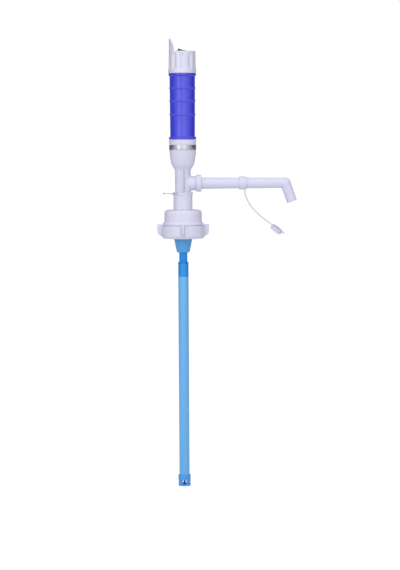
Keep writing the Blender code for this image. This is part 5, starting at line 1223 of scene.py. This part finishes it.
# %% The wing ring
RING_FOOT = -42.8
RING_RADIUS = 37.0
WING_COUNT = 4
WING_THICKNESS = 3.6
WING_TOP = 24.1
LINE_NEAR, LINE_FAR = 1.7, 2.6
ring_corners = [
    (31.9, 22.1, 0.4), (RING_RADIUS, 22.1, 1.0), (RING_RADIUS, 4.4, 1.8), (34.0, 0, 1.2),
    (28.8, 0, 0.5), (28.8, 2.0, 0.3), (31.9, 2.0, 0),
]
winged_ring = lathe("winged_ring", softened(ring_corners, 6), FINE)
wing_outline = [(34.8, 4.0), (35.6, WING_TOP)]
wing_outline += softened([(40, WING_TOP, 0), (44, WING_TOP, 1.4), (44, 20, 0), (40, 20, 0)])[1:6]
for index in range(9):
    angle = math.pi / 2 * index / 9
    wing_outline.append((35 + 9 * math.cos(angle), 11.6 - 7.4 * math.sin(angle)))
wing_outline.reverse()
for index in range(WING_COUNT):
    wing = slab("wing", wing_outline, WING_THICKNESS, 0.6, 4)
    for side in (-1, 1):
        near, far = sorted((side * LINE_NEAR, side * LINE_FAR))
        groove = box("wing_groove", (36.0, near, 5.0), (38.0, far, 23.0))
        take(winged_ring, quarter_turns(groove, index))
    add(winged_ring, quarter_turns(wing, index))
moved(winged_ring, Matrix.Translation((0, 0, RING_FOOT * MM)))
smooth(winged_ring)
finished(winged_ring, "ring_white", "wing_ring", "wing_ring")

# %% [markdown]
# ## The union nut
#
# A round nut holds the spout on the boss. It has no flats, only two generous roundings,
# because it is tightened by hand. Like the rest of the outlet, it is turned about the X
# axis.

# %% The union nut
NUT_START = 22.3
NUT_RADIUS = 14.3
NUT_LENGTH = 9.2
nut_corners = [
    (10.0, NUT_LENGTH, 0.3), (NUT_RADIUS, NUT_LENGTH, 1.7), (NUT_RADIUS, 0, 1.7),
    (12.4, 0, 0.4), (11.4, 0.5, 0), (11.4, 7.8, 0), (10.0, 7.8, 0),
]
round_nut = lathe("round_nut", softened(nut_corners, 6), MEDIUM)
aimed(round_nut, (NUT_START, 0, SPOUT_LEVEL), (1, 0, 0))
smooth(round_nut)
finished(round_nut, "nut_white", "nut", "union_nut")

# %% [markdown]
# ## The spout
#
# The spout is a slightly tapered tube that turns down at a tight knuckle. The two tubes
# meet in a ball that is a tenth of a millimetre larger, which closes the outside of the
# bend at any angle. The bore is made in the same three parts and taken out.

# %% The spout's outside
BEND_REACH = 174.0
SPOUT_START = 29.2
ROOT_RADIUS = 9.8
BEND_RADIUS = 8.8
MOUTH_RADIUS = 8.7
SPOUT_WALL = 1.5
NOZZLE_LENGTH = 33.6
NOZZLE_LEAN = math.radians(19.5)
run = BEND_REACH - SPOUT_START
down = Vector((math.sin(NOZZLE_LEAN), 0, -math.cos(NOZZLE_LEAN)))
root = (SPOUT_START, 0, SPOUT_LEVEL)
corner = Vector((BEND_REACH, 0, SPOUT_LEVEL))
straight = [
    (0, run), (BEND_RADIUS, run), (ROOT_RADIUS - 0.5, 30), (ROOT_RADIUS, 1.2),
    (10.9, 1.2), (11.0, 1.0), (11.0, 0.2), (10.9, 0), (0, 0),
]


def sphere(name, radius, rows=48, sides=MEDIUM):
    """A ball turned on the lathe, with its two poles on the axis."""
    profile = [
        (radius * math.sin(math.pi * row / rows), radius * math.cos(math.pi * row / rows))
        for row in range(rows + 1)
    ]
    profile[0] = (0, radius)
    profile[-1] = (0, -radius)
    return lathe(name, profile, sides)


white_spout = aimed(lathe("white_spout", straight, MEDIUM), root, (1, 0, 0))
nozzle_corners = [
    (4.0, NOZZLE_LENGTH, 0), (MOUTH_RADIUS, NOZZLE_LENGTH, 0.5), (BEND_RADIUS, 0, 0), (0, 0, 0),
]
nozzle_profile = [(0, NOZZLE_LENGTH)] + softened(nozzle_corners)[1:]
add(white_spout, aimed(sphere("knuckle", BEND_RADIUS + 0.1), corner, (0, 1, 0)))
add(white_spout, aimed(lathe("nozzle", nozzle_profile, MEDIUM), corner, down))
print("spout: %.1f mm to the bend, %.1f mm down" % (run, NOZZLE_LENGTH))

# %% [markdown]
# The wall is about 1.5 mm thick all along. The mouth opens with a small chamfer, because
# a sharp inner edge would neither leave the mould well nor catch the light.

# %% The spout's bore
straight_bore = [
    (0, run + 0.4), (BEND_RADIUS - SPOUT_WALL, run + 0.4), (ROOT_RADIUS - SPOUT_WALL, -2),
    (0, -2),
]
nozzle_bore = [
    (0, NOZZLE_LENGTH + 2), (MOUTH_RADIUS, NOZZLE_LENGTH + 2),
    (MOUTH_RADIUS - 1.0, NOZZLE_LENGTH), (MOUTH_RADIUS - SPOUT_WALL, NOZZLE_LENGTH - 0.5),
    (BEND_RADIUS - SPOUT_WALL, 0), (0, 0),
]
take(white_spout, aimed(lathe("bore", straight_bore, SMALL), root, (1, 0, 0)))
knuckle_bore = sphere("knuckle_bore", BEND_RADIUS - 1.4, 32, SMALL)
take(white_spout, aimed(knuckle_bore, corner, (0, 1, 0)))
take(white_spout, aimed(lathe("nozzle_bore", nozzle_bore, SMALL), corner, down))
smooth(white_spout)
finished(white_spout, "spout_white", "spout", "spout")

# %% [markdown]
# ## The ring on the spout
#
# A loose ring carries the dust cap's strap and turns round the spout. It is a short
# stepped band with a small lug under it, where the strap starts.

# %% The ring on the spout
RING_AT = 95.5
RING_BORE = 9.65
RING_LENGTH = 13.0
strap_ring = lathe("strap_ring", softened([
    (RING_BORE, RING_LENGTH, 0.2), (10.4, RING_LENGTH, 0.3), (10.4, 10.9, 0.2),
    (11.1, 10.9, 0.5), (11.1, 7.2, 0), (11.1, 0, 0.6), (RING_BORE, 0, 0.2),
]), MEDIUM)
aimed(strap_ring, (RING_AT, 0, SPOUT_LEVEL), (1, 0, 0))
add(strap_ring, box("lug", (103.69, -1.3, 38.0), (106.29, 1.3, 40.6), 0.35))
smooth(strap_ring)
finished(strap_ring, "tether_white", "tether", "tether_ring")

# %% [markdown]
# ## The dust cap
#
# A shallow cup under a plate that is slightly domed. A tab at its far end is for the thumb,
# and the strap ends in a lug at the near end. It hangs at about the strap's own slope and
# is rolled a little, as in the photograph.

# %% The dust cap
CAP_PLACE = (0.1597, 0, -0.0271)
CAP_TILT = math.radians(36.5)
CAP_ROLL = math.radians(12)
PLATE_RADIUS = 11.0
CUP_DEPTH = 4.9
dust_cap = lathe("dust_cap", softened([
    (0, 1.9, 0), (6.0, 1.7, 0), (PLATE_RADIUS, 1.3, 0.5), (PLATE_RADIUS, 0, 0.4),
    (10.6, -0.3, 0.2), (10.2, -CUP_DEPTH, 0.7), (8.9, -CUP_DEPTH, 0.3), (9.0, -0.3, 0.3),
    (0, -0.3, 0),
]), MEDIUM)
add(dust_cap, box("thumb_tab", (9.0, -3.6, -0.2), (14.4, 3.6, 1.3), 0.6))
add(dust_cap, box("strap_lug", (-12.2, -1.4, -0.3), (-9.6, 1.4, 1.5), 0.5))
moved(dust_cap, Matrix.Translation(CAP_PLACE)
      @ Matrix.Rotation(CAP_TILT, 4, "Y") @ Matrix.Rotation(CAP_ROLL, 4, "X"))
smooth(dust_cap)
finished(dust_cap, "nozzle_cap_white", "tether", "nozzle_cap")

# %% [markdown]
# ## Below the collar
#
# The tube socket plugs up in the body's tail, with a collar, a cone and a neck for the
# tube. The dip tube is a plain pipe, and a small ring stands just above it, round the neck.
# The lengths of the tube and the ring come from the boxes of their solids.

# %% The tube socket, the tube and its ring
SOCKET_TOP = -36.3
PLUG_RADIUS = 10.7
COLLAR_RADIUS = 15.3
NECK_RADIUS = 6.95
NECK_BORE = 5.35
TUBE_RADIUS = 8.75
TUBE_BORE = 7.25
RING_OUTSIDE = 9.1


def low_and_high(node_name):
    """A solid's lowest and highest point, in millimetres."""
    return tuple(corner.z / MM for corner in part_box(node_name))


socket_low, _ = low_and_high("tube_socket")
socket_corners = [
    (8.6, -12.6, 0), (PLUG_RADIUS, -12.6, 0.3), (PLUG_RADIUS, -23.1, 0), (9.6, -23.1, 0),
    (9.6, -24.9, 0), (PLUG_RADIUS, -24.9, 0), (PLUG_RADIUS, SOCKET_TOP, 0),
    (COLLAR_RADIUS, SOCKET_TOP, 0.4), (COLLAR_RADIUS, -44.3, 0.6), (11.0, -65.8, 0.7),
    (NECK_RADIUS, -67.8, 0.7), (NECK_RADIUS, socket_low, 0.4), (NECK_BORE, socket_low, 0.3),
    (NECK_BORE, -67.8, 0), (8.6, -63.8, 0),
]
blue_socket = lathe("blue_socket", softened(socket_corners), MEDIUM)
smooth(blue_socket)
finished(blue_socket, "socket_blue", "head", "tube_socket")

ring_low, ring_high = low_and_high("tube_ring")
blue_ring = lathe("blue_ring", softened([
    (TUBE_BORE, ring_high, 0.2), (RING_OUTSIDE, ring_high, 0.4),
    (RING_OUTSIDE, ring_low, 0.2), (TUBE_BORE, ring_low, 0.2),
]), MEDIUM)
smooth(blue_ring)
finished(blue_ring, "socket_blue", "head", "tube_ring")

tube_low, tube_high = low_and_high("dip_tube")
blue_tube = lathe("blue_tube", softened([
    (TUBE_BORE, tube_high, 0.2), (TUBE_RADIUS, tube_high, 0.3),
    (TUBE_RADIUS, tube_low, 0.3), (TUBE_BORE, tube_low, 0.2),
]), MEDIUM)
smooth(blue_tube)
finished(blue_tube, "tube_blue", "head", "dip_tube")
print("tube from %.1f to %.1f mm" % (tube_low, tube_high))

# %% [markdown]
# ## The strainer foot
#
# A cup at the tube's foot strains the water through four rounded windows and carries the
# end of the drive shaft. The windows are four boxes with rounded edges, taken out of the
# wall one quarter turn apart.

# %% The strainer foot
FOOT_RADIUS = 10.6
FOOT_SOCKET = 9.05
FOOT_BORE = 7.6
SHAFT_HOLE = 2.15
foot_low, foot_high = low_and_high("strainer_foot")
strainer = lathe("strainer", softened([
    (FOOT_SOCKET, foot_high, 0.3), (FOOT_RADIUS, foot_high, 0.6), (FOOT_RADIUS, foot_low, 1.2),
    (SHAFT_HOLE, foot_low, 0.2), (SHAFT_HOLE, foot_low + 2.2, 0.2),
    (FOOT_BORE, foot_low + 2.2, 0.5), (FOOT_BORE, foot_high - 5.4, 0.2),
    (FOOT_SOCKET, foot_high - 5.4, 0),
]), MEDIUM)
for index in range(4):
    window = box("window", (6.6, -3.1, foot_low + 3.2), (12.6, 3.1, foot_low + 10.4), 0.8)
    take(strainer, quarter_turns(window, index))
smooth(strainer)
finished(strainer, "foot_blue", "head", "strainer_foot")

# %% [markdown]
# ## Finishes for the pieces inside
#
# The solids that keep their own shape take their finish from the record: the cells, the
# motor, the seals, the contacts, the drive line and the guides in the tube.

# %% The carried-over solids
slot_of = {part["node"]: part["material_slot"] for part in record["subparts"]}
kept = 0
for node_name, node in frame["nodes"].items():
    if node.hide_render:
        continue
    kept += 1
    node.data.materials.clear()
    node.data.materials.append(finishes[slot_of[node_name]])
print("solids that stay: %d" % kept)

# %% [markdown]
# ## The studio
#
# A plain sweep of paper stands under and behind the pump, as for a catalogue picture. It is
# one strip that curves up behind the object, so that no line shows where the floor ends.

# %% The sweep of paper
FLOOR_LEVEL = -0.4676
SWEEP_HALF_WIDTH = 7.0
SWEEP_FRONT, SWEEP_BACK = -6.0, 4.6
SWEEP_HEIGHT = 5.0
SWEEP_BEND = 1.6
SWEEP_STEPS = 12


def sweep_floor():
    """A floor that curves up behind the object."""
    line = [(SWEEP_FRONT, 0), (SWEEP_BACK - SWEEP_BEND, 0)]
    for step in range(1, SWEEP_STEPS + 1):
        angle = math.pi / 2 * step / SWEEP_STEPS
        line.append((
            SWEEP_BACK - SWEEP_BEND + SWEEP_BEND * math.sin(angle),
            SWEEP_BEND - SWEEP_BEND * math.cos(angle),
        ))
    line.append((SWEEP_BACK, SWEEP_HEIGHT))
    vertices = []
    for y, z in line:
        level = FLOOR_LEVEL + z
        vertices += [(-SWEEP_HALF_WIDTH, y, level), (SWEEP_HALF_WIDTH, y, level)]
    faces = [
        [2 * index, 2 * index + 1, 2 * index + 3, 2 * index + 2]
        for index in range(len(line) - 1)
    ]
    mesh = bpy.data.meshes.new("studio_sweep")
    mesh.from_pydata(vertices, [], faces)
    mesh.shade_smooth()
    floor = bpy.data.objects.new("studio_sweep", mesh)
    bpy.context.scene.collection.objects.link(floor)
    return floor


studio = sweep_floor()
print("sweep: %d faces" % len(studio.data.polygons))

# %% [markdown]
# The backdrop is white because its own material answers the camera with white, not because
# more light falls on the pump, so pale plastic never clips. Only a little of that white is
# mirrored in the pump. The rest is plain paper, which takes the pump's shadow. It is pale near
# the pump, and painted grey far behind it: a painted shade that stands in for the dark of a
# room away from its lamps, so that glossy plastic mirrors a darker room at its own edges.
# That draws the fine outline which every pale piece has in the photograph.

# %% White to the camera, paper to the light
PAPER_NEAR = rgb(228, 228, 230)
# The far colour is a painted shade: grey paper in place of the dark back of a room.
PAPER_PAINTED_SHADE = rgb(96, 96, 99)
PAPER_CHANGE = (0.5, 2.4)
WHITE_GLOW = 1.17
SHARE_SEEN, SHARE_MIRRORED = 0.86, 0.10
BACK_LAYER, FRONT_LAYER = 1, 2
paper = Finish("studio_paper")
seen, mirrored, passed = (
    paper.node("LightPath", {}, {}, kind)
    for kind in ("Is Camera Ray", "Is Glossy Ray", "Is Transmission Ray")
)
# Between these distances behind the pump the paper turns from pale to the painted grey shade.
behind = paper.between(paper.axis("Y"), *PAPER_CHANGE)
paper.done(Base_Color=paper.blend(behind, PAPER_NEAR, PAPER_PAINTED_SHADE), Roughness=0.9)
answer = seen * SHARE_SEEN + mirrored * SHARE_MIRRORED + passed * SHARE_MIRRORED
glow = paper.node("Emission", {}, {"Color": (1, 1, 1, 1), "Strength": WHITE_GLOW})
plain = Value(paper, paper.shader.outputs[0])
mixed = paper.node("MixShader", {}, {0: answer, BACK_LAYER: plain, FRONT_LAYER: glow})
paper.feed(paper.tree.nodes["Material Output"].inputs["Surface"], mixed)
studio.data.materials.append(paper.material)
print("paper: %d nodes" % len(paper.tree.nodes))

# %% [markdown]
# ## The room
#
# A catalogue picture is taken between large soft lamps, with the camera in the gap. Here the
# room itself plays the large lamps: one wide glow from the front left, a stronger one from
# the front right, a narrower one from the middle, and a broad one from above and a little
# behind, which brightens the top of the spout. Low behind the pump the room stays dark. The
# camera itself sees the room as plain white, so that every view has the same backdrop.

# %% The room as four soft glows
ROOM_GLOWS = (
    # direction, where it starts, where it is full, strength
    ((-0.34, -0.94, 0), -0.45, 0.75, 0.345),
    ((0.20, -0.98, 0), -0.32, 0.75, 0.495),
    ((-0.10, -0.99, 0), 0.3, 1.0, 0.42),
    ((0, 0.20, 0.98), 0.25, 0.95, 0.80),
)
ROOM_TINT = (0.985, 0.985, 1.0, 1)
ROOM_SEEN = 1.05
world = bpy.data.worlds.new("studio_world")
bpy.context.scene.world = world
world.use_nodes = True
room = Nodes(world.node_tree)


def room_part(direction, low, high, strength):
    """Light that grows from nothing to `strength` as a ray turns to a direction."""
    towards = room.node("TexCoord", {}, {}, "Generated")
    facing = room.node(
        "VectorMath", {"operation": "DOT_PRODUCT"}, {0: towards, 1: direction}, "Value"
    )
    return room.node("MapRange", {"interpolation_type": "SMOOTHSTEP"}, {
        "Value": facing, "From Min": low, "From Max": high, "To Min": 0, "To Max": strength,
    }, "Result")


glow_sum = room_part(*ROOM_GLOWS[0])
for one_glow in ROOM_GLOWS[1:]:
    glow_sum += room_part(*one_glow)
room_seen = room.node("LightPath", {}, {}, "Is Camera Ray")
sky = room.tree.nodes["Background"]
room.feed(sky.inputs["Color"], ROOM_TINT)
room.feed(sky.inputs["Strength"], glow_sum * (1 - room_seen) + room_seen * ROOM_SEEN)
print("room: %d glows" % len(ROOM_GLOWS))

# %% [markdown]
# ## The two strip lamps
#
# The bright vertical lines on the grip and the cap are the mirror images of two tall, thin
# lamps, one at each side of the camera. Area lamps of that shape draw them. Each is given
# its brightness per area, so that a change of its width alone keeps the line's tone.

# %% The strip lamps
LAMP_AIM = Vector((0, 0, 0.05))
LAMP_DISTANCE = 2.3
STRIP_HEIGHT = 1.9


def strip_lamp(name, azimuth, elevation, width, radiance):
    """A soft lamp at angles from the camera's side, aimed at the pump's head."""
    lamp = bpy.data.lights.new(name, "AREA")
    lamp.shape = "RECTANGLE"
    lamp.size, lamp.size_y = width, STRIP_HEIGHT
    lamp.energy = radiance * math.pi * width * STRIP_HEIGHT
    holder = bpy.data.objects.new(name, lamp)
    bpy.context.scene.collection.objects.link(holder)
    turn, rise = math.radians(azimuth), math.radians(elevation)
    out = Vector((
        math.cos(rise) * math.sin(turn), -math.cos(rise) * math.cos(turn), math.sin(rise),
    ))
    holder.location = out * LAMP_DISTANCE + LAMP_AIM
    holder.rotation_euler = (-out).to_track_quat("-Z", "Y").to_euler()
    print("%s: %.2f W" % (name, lamp.energy))


strip_lamp("left_strip", -33, 4, 0.22, 1.95)
strip_lamp("right_strip", 15, 2, 0.16, 1.05)
bpy.context.scene.view_settings.view_transform = "Standard"
